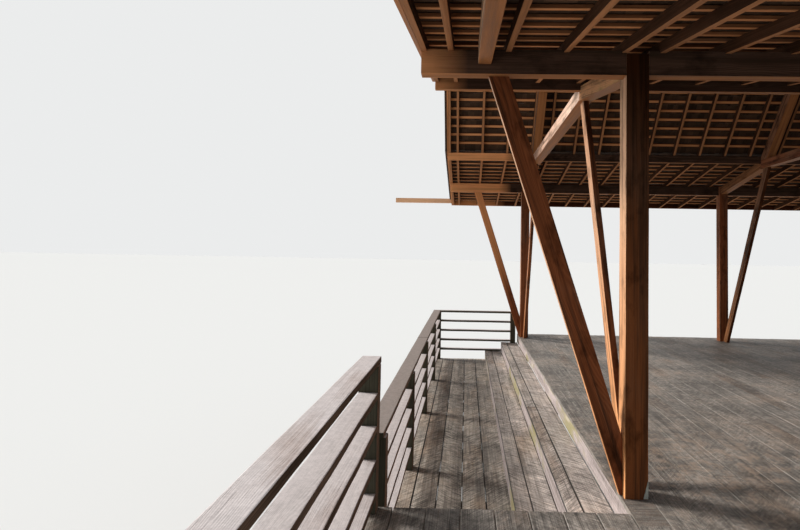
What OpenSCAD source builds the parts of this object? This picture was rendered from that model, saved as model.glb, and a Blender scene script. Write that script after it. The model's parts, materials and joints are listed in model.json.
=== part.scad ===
// Open timber hall on stilts beside a stream: a raised floor with a lower side walk,
// three timber bents and a gable roof with a shallow skirt on both long sides.
// Origin: ground level, under the middle of the plan box. +X along the ridge, +Z up.
// Millimetres.

/* [Bents] */
// Distance between two bents
bay = 3750; // [3000:50:4500]
// Number of bays between the two end bents
bays = 2; // [1:1:4]
// Width over the outer faces of the two post rows
span = 6840; // [6000:20:8000]
// Side of the square posts
post = 150; // [130:5:180]
// Width of the tie beams and principal rafters
frame_w = 130; // [100:5:130]
// Depth of the tie beams
tie_d = 135; // [120:5:160]
// Height of the tie beam tops above the floor
tie_top = 3175; // [3165:5:3185]
// Depth of the lower principal rafters
low_d = 132; // [110:2:150]
// Depth of the upper principal rafters
high_d = 160; // [120:10:180]
// Thickness of the raking struts
strut_t = 50; // [40:5:60]
// Depth of the raking struts
strut_d = 130; // [100:5:140]
// Reach of the end struts along the plate, to their middle
end_reach = 845; // [700:5:1000]
// Length of the tenons on principal rafters and struts
tenon = 45; // [30:5:50]
// Thickness of the tenons
tenon_t = 24; // [18:2:30]
// Shoulder above and below the tenons of the principal rafters
shoulder = 30; // [20:2:40]
// Width of the tenons of the struts
strut_tenon = 60; // [40:5:80]
// Wood left beside the tenons of the end struts
tenon_wall = 8; // [5:1:15]
// Gap between the principal rafters and the common rafters over them
principal_gap = 25; // [15:5:35]
// Gap between the post heads and the rafter line
head_gap = 6; // [2:1:10]
// Gap where two like pieces meet end to end
butt = 1; // [1:0.5:3]
// Height of the chip out of the first near post's foot
chip_h = 125; // [80:5:160]
// Width of the chip out of the first near post's foot
chip_w = 32; // [20:2:40]

/* [Long beams] */
// Height of the plate tops above the floor
plate_top = 2920; // [2900:5:2940]
// Depth of the plates
plate_h = 165; // [150:5:180]
// Thickness of the plates
plate_t = 95; // [80:5:100]
// Depth of the notches in the plates at the posts
lap = 45; // [35:5:55]
// Height of the purlin tops above the floor
purlin_top = 3235; // [3225:5:3245]
// Depth of the purlins
purlin_h = 120; // [110:5:130]
// Thickness of the purlins
purlin_t = 62; // [50:2:70]
// Distance of the purlins in from the plates, outer face to outer face
purlin_in = 1485; // [1400:5:1600]
// Depth of the ridge beam
ridge_h = 220; // [180:10:260]
// Thickness of the ridge beam
ridge_t = 60; // [50:5:80]
// Reach of the long beams past the end posts
verge = 1365; // [1100:5:1500]

/* [Roof] */
// Depth of the rafter notches over the plates and purlins
seat = 6; // [6:1:14]
// Drop of the ridge beam below the tops of the rafters
ridge_drop = 12; // [5:1:20]
// Pitch of the steep upper roof in degrees
steep = 52; // [48:1:55]
// Pitch of the shallow skirts in degrees
shallow = 10.5; // [10:0.5:12]
// Reach of the rafters past the plates
eave = 1460; // [1000:10:1600]
// Width of the common rafters
rafter_w = 38; // [32:2:50]
// Depth of the common rafters
rafter_d = 75; // [65:5:90]
// Greatest distance between common rafters
rafter_gap = 445; // [400:5:480]
// Distance of the near side's second rafter from the outer face of its verge rafter
near_verge_gap = 198; // [150:2:220]
// Distance of the far side's second rafter from the outer face of its verge rafter
far_verge_gap = 150; // [110:2:180]
// Distance of the near side's rafters outside the end bents from the middles of the posts
near_flank_out = 86; // [50:1:180]
// Distance of the near side's rafters in each bay from the middles of the posts
near_flank_in = 166; // [80:1:250]
// Distance of the far side's rafters outside the end bents from the middles of the posts
far_flank_out = 57; // [50:1:180]
// Distance of the far side's rafters in each bay from the middles of the posts
far_flank_in = 226; // [80:1:250]
// Width of the battens
batten_w = 40; // [30:5:50]
// Thickness of the battens
batten_t = 22; // [18:2:30]
// Distance between battens up the skirts
low_batten_gap = 192; // [180:2:200]
// Distance between battens up the steep slopes
high_batten_gap = 150; // [130:2:170]
// Distance of the lowest batten from the rafter ends
batten_low = 118; // [60:2:130]
// Distance of the first upper batten past the break of the roof
batten_high = 30; // [25:5:50]
// Least distance of the highest batten from the end of its slope
batten_end = 100; // [80:5:120]
// Thickness of the shingle covering
cover_t = 26; // [20:2:34]
// Reach of the covering past the barge boards
cover_out = 40; // [20:5:60]
// Reach of the covering past the rafter ends
cover_end = 50; // [40:5:70]
// Thickness of the ridge cap boards
cap_board_t = 22; // [18:1:30]
// Reach of the ridge cap boards to each side in plan
cap_reach = 130; // [100:5:160]
// Thickness of the barge boards
barge_t = 25; // [20:5:40]
// Depth of the barge boards
barge_d = 75; // [60:5:90]
// Thickness of the eave boards across the rafter ends
eave_t = 22; // [18:2:28]
// Width of the eave bearers over the end struts
arm_w = 88; // [70:2:110]
// Depth of the eave bearers
arm_d = 158; // [140:2:164]
// Distance of the eave bearers' middles from the end bents
arm_out = 940; // [900:5:980]
// Reach of the rain spout past the barge board
spout_out = 1230; // [900:10:1400]
// Width and depth of the rain spout
spout_w = 95; // [80:5:120]
// Height of the spout above the rafter undersides at the eave
spout_lift = 40; // [20:5:60]
// Thickness of the spout boards
spout_t = 20; // [15:1:25]

/* [Floors] */
// Height of the main floor above the ground
floor_z = 1900; // [1500:50:2600]
// Depth of the near platform in front of the near posts
platform = 2600; // [2200:50:3000]
// Reach of the floor past the far posts
far_out = 300; // [200:20:500]
// Reach of the floor past the last bent
end_out = 300; // [200:20:500]
// Reach of the floor edge past the first bent, over the steps
nose = 20; // [20:2:40]
// Thickness of the floor boards
board_t = 32; // [28:2:40]
// Rise of each step
rise = 169; // [150:1:175]
// Going of each step
going = 312; // [290:1:330]
// Width of the lower walk
walk_w = 1025; // [900:5:1200]
// Distance of the landing edge in front of the near posts
landing = 190; // [180:5:240]
// Thickness of the riser boards
riser_t = 18; // [15:1:20]
// Reach of the treads past their riser boards
tread_lip = 2; // [1:1:10]
// Gap of the floor boards round the posts
board_gap = 3; // [2:1:6]
// Depth of the joists
joist_h = 150; // [120:10:180]
// Thickness of the joists
joist_t = 50; // [40:5:60]
// Depth of the bearers
bearer_h = 200; // [160:10:240]
// Thickness of the bearers
bearer_t = 80; // [60:5:100]
// Distance of the ends of joists and bearers in from the floor edges
frame_in = 20; // [10:5:40]
// Number of joists under the near platform
near_joists = 5; // [4:1:7]
// Number of joists between the two post rows
main_joists = 12; // [9:1:15]
// Number of joists under the walk, every second one with a stringer
walk_joist_n = 13; // [9:2:17]
// Depth of the walk joists and walk bearers
walk_joist_h = 120; // [100:10:140]

/* [Stilts] */
// Side of the square stilts under the walk
walk_stilt = 120; // [100:5:140]
// Distance of the outer stilts in from the floor edges
edge_in = 60; // [40:5:100]
// Side of the square footings
pad = 400; // [340:20:560]
// Height of the footings above the ground
pad_h = 200; // [150:10:300]

/* [Railing] */
// Height of the handrail tops above the near platform
rail_h = 912; // [850:5:1000]
// Height of the handrail tops above the walk
walk_rail_h = 945; // [900:5:1050]
// Width of the handrail boards along the walk
cap_w = 136; // [120:2:150]
// Width of the lower rail boards along the walk
rail_w = 110; // [90:5:120]
// Thickness of the rail boards along the walk
rail_t = 34; // [28:2:40]
// Width of the rail boards and posts on the platform
platform_rail_w = 120; // [110:2:130]
// Thickness of the rail boards on the platform
platform_rail_t = 40; // [34:2:46]
// Reach of the platform's railing past the side edge of the floor
platform_rail_out = 6; // [0:1:10]
// Distance between rails on the platform, top to top
rail_gap = 197; // [180:1:200]
// Distance between rails on the walk, top to top
walk_rail_gap = 183; // [165:1:190]
// Side of the walk's railing posts and depth of the platform's
rail_post = 95; // [80:5:105]
// Distance of the walk's railing posts in from the side edge of the floor
post_in = 54; // [44:2:60]
// Distance of the end posts from the ends of the handrails
post_end = 12; // [5:1:30]
// Distance of the return railing's end post from the steps' top edge
return_in = 40; // [30:5:150]
// Number of bays of the walk railing
walk_rail_bays = 4; // [3:1:6]

/* [View] */
// Sub-part to draw

/* [Hidden] */

timber = [0.52, 0.30, 0.18];
decking = [0.50, 0.44, 0.38];
railing = [0.55, 0.48, 0.43];
shingle = [0.30, 0.23, 0.18];
stone = [0.62, 0.60, 0.57];

// Plan: x = 0 at the left faces of the first posts, y = 0 at the near faces.
hall = bays * bay + post;
mid = span / 2;
x_left = -nose - 2 * going - walk_w;
x_right = hall + verge + barge_t + cover_out;
y_near = -platform;
spout_end = -verge - barge_t - spout_out;
x_min = min(x_left, x_left + edge_in + (walk_stilt - pad) / 2, spout_end);
y_min = y_near + edge_in + (post - pad) / 2;
x_mid = (x_min + x_right) / 2;
y_mid = (y_min + span + eave + cover_end) / 2;
past = 2 * (span + hall);
over = 1;
bent_x = [for (i = [0:bays]) i * bay];
floor_end = hall + end_out;
floor_far = span + far_out;

// Underside lines of the common rafters.
breaking = purlin_in + purlin_t / 2;
low_tan = tan(shallow);
low_z0 = plate_top - seat - low_tan * plate_t / 2;
high_tan = tan(steep);
high_z0 = purlin_top - 2 * seat;
node_y = purlin_in + purlin_t;
function low_z(y) = low_z0 + low_tan * y;
function high_z(y) = high_z0 + high_tan * (y - breaking);
low_cos = cos(shallow);
high_cos = cos(steep);
low_top = -principal_gap / low_cos;
low_bot = low_top - low_d / low_cos;
high_top = -principal_gap / high_cos;
high_bot = high_top - high_d / high_cos;
ridge_face = mid - ridge_t / 2;
ridge_top = high_z(ridge_face) + rafter_d / high_cos - ridge_drop;

// Floor levels, from the main floor top.
walk_z = -3 * rise;
tread_1 = -2 * rise;
tread_2 = -rise;
joist_z = -board_t - joist_h;
bearer_z = joist_z - bearer_h;
walk_joist_z = walk_z - board_t - walk_joist_h;
walk_bearer_z = walk_joist_z - walk_joist_h;
riser_1 = -nose - 2 * going;
riser_2 = -nose - going;
row_y = [y_near + edge_in, 0, mid - post / 2, span - post];
walk_near = -landing + riser_t;
stilt_in = (post - walk_stilt) / 2;
landing_row_y = [row_y[0] + stilt_in, -landing - 2 * edge_in - walk_stilt];
walk_row_y = [for (i = [1:3]) row_y[i] + stilt_in];

// Railing lines.
post_x = x_left + post_in;
cap_x = x_left;
rail_x = cap_x + cap_w - rail_w;
platform_rail_x = [x_left - platform_rail_out, x_left - platform_rail_out + platform_rail_w];
landing_post_y = [y_near + post_end, -landing - rail_post - post_end];
walk_post_0 = walk_near + post_end;
walk_post_n = floor_far - rail_post - post_end;
walk_step = (walk_post_n - walk_post_0) / walk_rail_bays;
return_post_x = -nose - rail_post - return_in;
rails = 4;

// Rafters.
roof_len = hall + 2 * verge;
post_mid = post / 2;
function spread(a, b) =
  let (n = ceil((b - a) / rafter_gap))
  [for (i = [0:n]) a + i * (b - a) / n - rafter_w / 2];
function rafter_places(verge_gap, flank_out, flank_in) = concat(
  [-verge],
  spread(-verge + verge_gap, post_mid - flank_out),
  [
    for (i = [0:bays - 1])
      each spread(bent_x[i] + post_mid + flank_in, bent_x[i + 1] + post_mid - flank_in)
  ],
  spread(hall - post_mid + flank_out, hall + verge - verge_gap),
  [hall + verge - rafter_w]
);
near_rafter_x = rafter_places(near_verge_gap, near_flank_out, near_flank_in);
far_rafter_x = rafter_places(far_verge_gap, far_flank_out, far_flank_in);
low_run = purlin_in + eave;
high_run = ridge_face - breaking;

// Drawing helpers.
module at_x(x, w) {
  translate([x, 0, 0])
    rotate([90, 0, 90])
      linear_extrude(w)
        children();
}

module far_side() {
  translate([0, span, 0])
    mirror([0, 1, 0])
      children();
}

module both_sides() {
  children();
  far_side()
    children();
}

module both_ends() {
  children();
  translate([hall, 0, 0])
    mirror([1, 0, 0])
      children();
}

module block(x, y, z) {
  translate([x[0], y[0], z[0]])
    cube([x[1] - x[0], y[1] - y[0], z[1] - z[0]]);
}

module low_strip(y0, y1, o0, o1) {
  polygon([
    [y0, low_z(y0) + o0], [y1, low_z(y1) + o0],
    [y1, low_z(y1) + o1], [y0, low_z(y0) + o1]
  ]);
}

module high_strip(y0, y1, o0, o1) {
  polygon([
    [y0, high_z(y0) + o0], [y1, high_z(y1) + o0],
    [y1, high_z(y1) + o1], [y0, high_z(y0) + o1]
  ]);
}

module plate_2d() {
  translate([0, plate_top - plate_h])
    square([plate_t, plate_h]);
}

module purlin_2d() {
  translate([purlin_in, purlin_top - purlin_h])
    square([purlin_t, purlin_h]);
}

module ridge_2d() {
  translate([ridge_face, ridge_top - ridge_h])
    square([ridge_t, ridge_h]);
}

// Puts a part drawn from the floor top and the first posts into the shared frame.
module placed() {
  translate([-x_mid, -y_mid, floor_z])
    children();
}

// Stilts and floors.
module one_pad(x, y, s) {
  block([x + s / 2 - pad / 2, x + s / 2 + pad / 2],
        [y + s / 2 - pad / 2, y + s / 2 + pad / 2], [-floor_z, -floor_z + pad_h]);
}

module footings() {
  color(stone)
    placed() {
      for (x = bent_x, y = row_y)
        one_pad(x, y, post);
      for (y = concat(landing_row_y, walk_row_y))
        one_pad(x_left + edge_in, y, walk_stilt);
    }
}

module main_stilts() {
  color(timber)
    placed()
      for (x = bent_x, y = [row_y[0], row_y[2]])
        block([x, x + post], [y, y + post], [-floor_z + pad_h, joist_z]);
}

module walk_stilts() {
  x = x_left + edge_in;
  color(timber)
    placed() {
      for (y = walk_row_y)
        block([x, x + walk_stilt], [y, y + walk_stilt], [-floor_z + pad_h, walk_bearer_z]);
      for (y = landing_row_y)
        block([x, x + walk_stilt], [y, y + walk_stilt], [-floor_z + pad_h, bearer_z]);
    }
}

function bearer_x(i) = i == bays ? bent_x[i] - bearer_t : bent_x[i] + post;

module floor_bearers() {
  x = x_left + edge_in + (walk_stilt - bearer_t) / 2;
  color(timber)
    placed() {
      for (i = [0:bays])
        block([bearer_x(i), bearer_x(i) + bearer_t], [y_near + frame_in, floor_far - frame_in],
              [bearer_z, joist_z]);
      block([x, x + bearer_t], [y_near + frame_in, -landing - riser_t], [bearer_z, joist_z]);
    }
}

module walk_bearers() {
  x = x_left + edge_in + (walk_stilt - bearer_t) / 2;
  color(timber)
    placed() {
      block([x, x + bearer_t], [walk_near + frame_in, floor_far - frame_in], [walk_bearer_z, walk_joist_z]);
      block([-bearer_t, 0], [walk_near + frame_in, floor_far - frame_in], [walk_bearer_z, walk_joist_z]);
    }
}

// Joists run along the hall; they stand clear of the posts.
near_first = y_near + frame_in;
near_step = (-landing - riser_t - joist_t - near_first) / (near_joists - 1);
main_first = post + frame_in;
main_step = (span - post - frame_in - joist_t - main_first) / (main_joists - 1);
walk_first = walk_near + frame_in;
walk_joist_step = (floor_far - frame_in - joist_t - walk_first) / (walk_joist_n - 1);

module floor_joists() {
  color(timber)
    placed() {
      for (i = [0:near_joists - 1])
        block([x_left + frame_in, floor_end - frame_in],
              [near_first + i * near_step, near_first + i * near_step + joist_t],
              [joist_z, -board_t]);
      for (i = [0:main_joists - 1])
        block([0, floor_end - frame_in],
              [main_first + i * main_step, main_first + i * main_step + joist_t],
              [joist_z, -board_t]);
      block([0, floor_end - frame_in], [floor_far - frame_in - joist_t, floor_far - frame_in],
            [joist_z, -board_t]);
    }
}

module walk_joists() {
  color(timber)
    placed()
      for (i = [0:walk_joist_n - 1])
        block([x_left + frame_in, 0],
              [walk_first + i * walk_joist_step, walk_first + i * walk_joist_step + joist_t],
              [walk_joist_z, walk_z - board_t]);
}

module step_stringers() {
  z0 = walk_z - board_t;
  color(timber)
    placed()
      for (i = [0:2:walk_joist_n - 1])
        translate([0, walk_first + i * walk_joist_step + joist_t, 0])
          rotate([90, 0, 0])
            linear_extrude(joist_t)
              polygon([
                [riser_1 + riser_t, z0], [-riser_t, z0],
                [-riser_t, tread_2 - board_t], [riser_2 + riser_t, tread_2 - board_t],
                [riser_2 + riser_t, tread_1 - board_t], [riser_1 + riser_t, tread_1 - board_t]
              ]);
}

module post_hole(x, y) {
  block([x - board_gap, x + post + board_gap], [y - board_gap, y + post + board_gap],
        [-board_t - over, over]);
}

module main_floor() {
  color(decking)
    placed()
      difference() {
        block([-nose, floor_end], [y_near, floor_far], [-board_t, 0]);
        for (x = bent_x, y = [0, span - post])
          post_hole(x, y);
      }
}

module landing_floor() {
  color(decking)
    placed()
      block([x_left, -nose - board_gap], [y_near, -landing], [-board_t, 0]);
}

module walk_floor() {
  color(decking)
    placed()
      block([x_left, riser_1 + riser_t], [walk_near, floor_far], [walk_z - board_t, walk_z]);
}

module lower_tread() {
  color(decking)
    placed()
      block([riser_1 - tread_lip, riser_2], [walk_near, floor_far], [tread_1 - board_t, tread_1]);
}

module upper_tread() {
  color(decking)
    placed()
      block([riser_2 - tread_lip, -riser_t], [walk_near, floor_far], [tread_2 - board_t, tread_2]);
}

module riser_boards() {
  color(decking)
    placed() {
      block([riser_1, riser_1 + riser_t], [walk_near + butt, floor_far],
            [walk_z, tread_1 - board_t]);
      block([riser_2, riser_2 + riser_t], [walk_near + butt, floor_far],
            [tread_1, tread_2 - board_t]);
      block([-riser_t, 0], [walk_near + butt, floor_far], [tread_2, -board_t]);
      block([x_left, 0], [-landing, walk_near], [walk_z - board_t, -board_t]);
    }
}

// Railings.
module landing_rail_posts() {
  color(railing)
    placed()
      for (y = landing_post_y)
        block(platform_rail_x, [y, y + rail_post], [0, rail_h - platform_rail_t]);
}

module landing_rails() {
  color(railing)
    placed()
      for (k = [1:rails])
        block(platform_rail_x, [landing_post_y[0] + rail_post, landing_post_y[1]],
              [rail_h - k * rail_gap - platform_rail_t, rail_h - k * rail_gap]);
}

walk_top = walk_z + walk_rail_h;

module walk_rail_posts() {
  color(railing)
    placed() {
      for (i = [0:walk_rail_bays])
        block([post_x, post_x + rail_post],
              [walk_post_0 + i * walk_step, walk_post_0 + i * walk_step + rail_post],
              [walk_z, walk_top - rail_t]);
      block([return_post_x, return_post_x + rail_post], [walk_post_n, walk_post_n + rail_post],
            [tread_2, walk_top - rail_t]);
    }
}

module walk_rails() {
  color(railing)
    placed()
      for (k = [1:rails], i = [0:walk_rail_bays - 1])
        block([rail_x, rail_x + rail_w],
              [walk_post_0 + i * walk_step + rail_post, walk_post_0 + (i + 1) * walk_step],
              [walk_top - k * walk_rail_gap - rail_t, walk_top - k * walk_rail_gap]);
}

// The rails across the end of the walk; the lowest stops at the upper tread's riser.
module return_rails() {
  color(railing)
    placed()
      for (k = [1:rails]) {
        z = walk_top - k * walk_rail_gap;
        low = z - rail_t < tread_2;
        block([post_x + rail_post, low ? riser_2 - butt : return_post_x],
              [walk_post_n, walk_post_n + rail_post], [z - rail_t, z]);
      }
}

module handrails() {
  color(railing)
    placed() {
      block(platform_rail_x, [y_near, -landing], [rail_h - platform_rail_t, rail_h]);
      block([cap_x, cap_x + cap_w], [walk_near, floor_far],
            [walk_top - rail_t, walk_top]);
      block([cap_x + cap_w + butt, return_post_x + rail_post], [walk_post_n - post_end, floor_far],
            [walk_top - rail_t, walk_top]);
    }
}

// Bents: posts, principal rafters, tie beams and struts.
slot_clear = 50;
chip_over = 5;

module post_2d() {
  difference() {
    polygon([
      [0, -floor_z + pad_h], [post, -floor_z + pad_h],
      [post, low_z(post) - head_gap], [0, low_z(0) - head_gap]
    ]);
    translate([lap, plate_top - plate_h])
      square([plate_t - lap, plate_h + slot_clear]);
  }
}

module low_tenon_2d() {
  polygon([
    [post - tenon, low_z(post) + low_bot + shoulder],
    [post + over, low_z(post) + low_bot + shoulder],
    [post + over, low_z(post) + low_top - shoulder],
    [post - tenon, low_z(post) + low_top - shoulder]
  ]);
}

module post_row() {
  for (x = bent_x)
    difference() {
      at_x(x, post)
        post_2d();
      at_x(x + post / 2 - tenon_t / 2, tenon_t)
        low_tenon_2d();
    }
}

// The foot of the first near post has lost a splinter at its inner front corner.
module foot_chip() {
  translate([post, chip_w, 0])
    rotate([90, 0, 0])
      linear_extrude(chip_w + chip_over)
        polygon([[chip_over, 0], [-chip_w, 0], [0, chip_h], [chip_over, chip_h]]);
}

module near_posts() {
  color(timber)
    placed()
      difference() {
        post_row();
        foot_chip();
      }
}

module far_posts() {
  color(timber)
    placed()
      far_side()
        post_row();
}

module one_low_principal(x) {
  at_x(x + (post - frame_w) / 2, frame_w)
    difference() {
      low_strip(post, node_y, low_bot, low_top);
      purlin_2d();
    }
  at_x(x + (post - tenon_t) / 2, tenon_t)
    low_tenon_2d();
}

module lower_principals() {
  color(timber)
    placed()
      both_sides()
        for (x = bent_x)
          one_low_principal(x);
}

strut_foot = post;
strut_tan = (node_y - strut_foot) / (tie_top - tie_d);
strut_wide = strut_d / cos(atan(strut_tan));

module strut_tenon_2d() {
  z = tie_top - tie_d;
  translate([node_y + (strut_wide - strut_tenon) / 2, z - over])
    square([strut_tenon, tenon + over]);
}

module tie_beams() {
  color(timber)
    placed()
      for (x = bent_x)
        difference() {
          block([x + (post - frame_w) / 2, x + (post + frame_w) / 2],
                [node_y, span - node_y], [tie_top - tie_d, tie_top]);
          both_sides()
            at_x(x + (post - tenon_t) / 2, tenon_t)
              strut_tenon_2d();
        }
}

module one_strut(x) {
  z = tie_top - tie_d;
  at_x(x + (post - strut_t) / 2, strut_t)
    polygon([
      [strut_foot, 0], [strut_foot + strut_wide, 0],
      [node_y + strut_wide, z], [node_y, z]
    ]);
  at_x(x + (post - tenon_t) / 2, tenon_t)
    strut_tenon_2d();
}

module bent_struts() {
  color(timber)
    placed()
      both_sides()
        for (x = bent_x)
          one_strut(x);
}

module one_high_principal(x) {
  at_x(x + (post - frame_w) / 2, frame_w)
    difference() {
      intersection() {
        high_strip(0, mid, high_bot, high_top);
        translate([node_y, tie_top])
          square([mid - node_y - butt / 2, past]);
      }
      ridge_2d();
    }
}

module upper_principals() {
  color(timber)
    placed() {
      for (x = bent_x)
        one_high_principal(x);
      far_side()
        for (x = bent_x)
          one_high_principal(x);
    }
}

end_z = plate_top - plate_h;
end_tan = (end_reach + strut_d / 2 - nose) / end_z;
end_wide = strut_d / cos(atan(end_tan));
end_tip = -nose - end_tan * end_z;
end_mid_y = post / 2;

module end_tenon() {
  x = end_tip + (end_wide - strut_tenon) / 2;
  block([x, x + strut_tenon],
        [end_mid_y - tenon_t / 2, min(end_mid_y + tenon_t / 2, plate_t - tenon_wall)],
        [end_z - over, end_z + tenon]);
}

module one_end_strut() {
  translate([0, end_mid_y + strut_t / 2, 0])
    rotate([90, 0, 0])
      linear_extrude(strut_t)
        intersection() {
          polygon([
            [-nose, 0], [-nose + end_wide, 0],
            [end_tip + end_wide, end_z], [end_tip, end_z]
          ]);
          translate([-past, 0])
            square([past, end_z]);
        }
  end_tenon();
}

module end_struts() {
  color(timber)
    placed()
      both_ends()
        both_sides()
          one_end_strut();
}

// Long beams.
module plate_row() {
  difference() {
    at_x(-verge, roof_len)
      plate_2d();
    for (x = bent_x)
      block([x, x + post], [-over, lap], [end_z - over, plate_top + over]);
    both_ends()
      end_tenon();
  }
}

module near_plate() {
  color(timber)
    placed()
      plate_row();
}

module far_plate() {
  color(timber)
    placed()
      far_side()
        plate_row();
}

module purlins() {
  color(timber)
    placed()
      both_sides()
        at_x(-verge, roof_len)
          purlin_2d();
}

module ridge_beam() {
  color(timber)
    placed()
      at_x(-verge, roof_len)
        ridge_2d();
}

arm_top = rafter_d / low_cos;

module one_arm() {
  at_x(-arm_out - arm_w / 2, arm_w)
    difference() {
      low_strip(-eave, 0, arm_top - arm_d / low_cos, arm_top);
      plate_2d();
    }
}

module eave_bearers() {
  color(timber)
    placed()
      both_ends()
        one_arm();
}

// Roof.
module skirt_rafters(places) {
  for (x = places)
    at_x(x, rafter_w)
      difference() {
        low_strip(-eave, purlin_in, 0, rafter_d / low_cos);
        plate_2d();
      }
}

module near_skirt_rafters() {
  color(timber)
    placed()
      skirt_rafters(near_rafter_x);
}

module far_skirt_rafters() {
  color(timber)
    placed()
      far_side()
        skirt_rafters(far_rafter_x);
}

module steep_rafters(places) {
  for (x = places)
    at_x(x, rafter_w)
      difference() {
        high_strip(purlin_in, ridge_face, 0, rafter_d / high_cos);
        purlin_2d();
      }
}

module near_steep_rafters() {
  color(timber)
    placed()
      steep_rafters(near_rafter_x);
}

module far_steep_rafters() {
  color(timber)
    placed()
      far_side()
        steep_rafters(far_rafter_x);
}

// A batten square to the slope with its lower edge at y.
module slope_strip_2d(y, z, a, w, t) {
  translate([y, z])
    rotate(a)
      square([w, t]);
}

low_rows = floor((low_run / low_cos - batten_low - batten_w - batten_end) / low_batten_gap);
high_rows = floor((high_run / high_cos - batten_high / high_cos - batten_w - batten_end) / high_batten_gap);

module battens() {
  for (i = [0:low_rows]) {
    y = -eave + batten_low + i * low_batten_gap * low_cos;
    at_x(-verge - barge_t, roof_len + 2 * barge_t)
      slope_strip_2d(y, low_z(y) + rafter_d / low_cos, shallow, batten_w, batten_t);
  }
  for (i = [0:high_rows]) {
    y = breaking + batten_high + i * high_batten_gap * high_cos;
    at_x(-verge - barge_t, roof_len + 2 * barge_t)
      slope_strip_2d(y, high_z(y) + rafter_d / high_cos, steep, batten_w, batten_t);
  }
}

module near_battens() {
  color(timber)
    placed()
      battens();
}

module far_battens() {
  color(timber)
    placed()
      far_side()
        battens();
}

low_cover_0 = (rafter_d + batten_t) / low_cos;
low_cover_1 = (rafter_d + batten_t + cover_t) / low_cos;
high_cover_0 = (rafter_d + batten_t) / high_cos;
high_cover_1 = (rafter_d + batten_t + cover_t) / high_cos;
cover_x = -verge - barge_t - cover_out;
cover_len = roof_len + 2 * barge_t + 2 * cover_out;

module skirt_cover() {
  at_x(cover_x, cover_len)
    low_strip(-eave - cover_end, purlin_in, low_cover_0, low_cover_1);
}

module steep_cover() {
  at_x(cover_x, cover_len)
    difference() {
      high_strip(0, mid, high_cover_0, high_cover_1);
      low_strip(-eave, mid, -past, low_cover_1);
    }
}

module near_skirt_cover() {
  color(shingle)
    placed()
      skirt_cover();
}

module far_skirt_cover() {
  color(shingle)
    placed()
      far_side()
        skirt_cover();
}

module near_steep_cover() {
  color(shingle)
    placed()
      steep_cover();
}

module far_steep_cover() {
  color(shingle)
    placed()
      far_side()
        steep_cover();
}

module ridge_cap() {
  color(timber)
    placed()
      both_sides()
        at_x(cover_x, cover_len)
          high_strip(mid - cap_reach, mid - butt / 2, high_cover_1,
                     high_cover_1 + cap_board_t / high_cos);
}

module barge_pair() {
  o = rafter_d - barge_d;
  at_x(-verge - barge_t, barge_t) {
    low_strip(-eave - eave_t, purlin_in - butt, o / low_cos, rafter_d / low_cos);
    high_strip(purlin_in, mid - butt / 2, o / high_cos, rafter_d / high_cos);
  }
}

module eave_board() {
  at_x(-verge + butt, roof_len - 2 * butt)
    low_strip(-eave - eave_t, -eave, 0, low_cover_0);
}

// The boards along the verges and across the rafter ends.
module barge_boards() {
  color(timber)
    placed()
      both_sides() {
        both_ends()
          barge_pair();
        eave_board();
      }
}

// A trough of three boards that throws the rain clear of the far eave corner.
spout_z = low_z(-eave) + spout_lift;

module rain_spout() {
  x1 = -verge - barge_t;
  color(timber)
    placed()
      far_side()
        difference() {
          block([spout_end, x1], [-eave, -eave + spout_w], [spout_z, spout_z + spout_w]);
          block([spout_end - over, x1 + over], [-eave + spout_t, -eave + spout_w - spout_t],
                [spout_z + spout_t, spout_z + spout_w + over]);
          at_x(cover_x, cover_out)
            low_strip(-eave - over, -eave + spout_w + over, low_cover_0, past);
        }
}

footings();
main_stilts();
walk_stilts();
floor_bearers();
walk_bearers();
floor_joists();
walk_joists();
step_stringers();
main_floor();
landing_floor();
walk_floor();
lower_tread();
upper_tread();
riser_boards();
landing_rail_posts();
landing_rails();
walk_rail_posts();
walk_rails();
return_rails();
handrails();
near_posts();
far_posts();
bent_struts();
end_struts();
tie_beams();
lower_principals();
upper_principals();
near_plate();
far_plate();
purlins();
ridge_beam();
eave_bearers();
near_skirt_rafters();
far_skirt_rafters();
near_steep_rafters();
far_steep_rafters();
near_battens();
far_battens();
near_skirt_cover();
far_skirt_cover();
near_steep_cover();
far_steep_cover();
ridge_cap();
barge_boards();
rain_spout();
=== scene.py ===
"""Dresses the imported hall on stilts: timbers, boards, shingles, railings, finishes and light.

Sizes are in metres and angles in radians, but for a lamp's width.
"""

import json
import logging
import math
from collections.abc import Callable, Iterator
from contextlib import contextmanager
from dataclasses import dataclass, replace
from enum import Enum
from functools import cached_property, partial
from typing import ClassVar

import bpy
import numpy as np
from mathutils import Matrix, Vector

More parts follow.
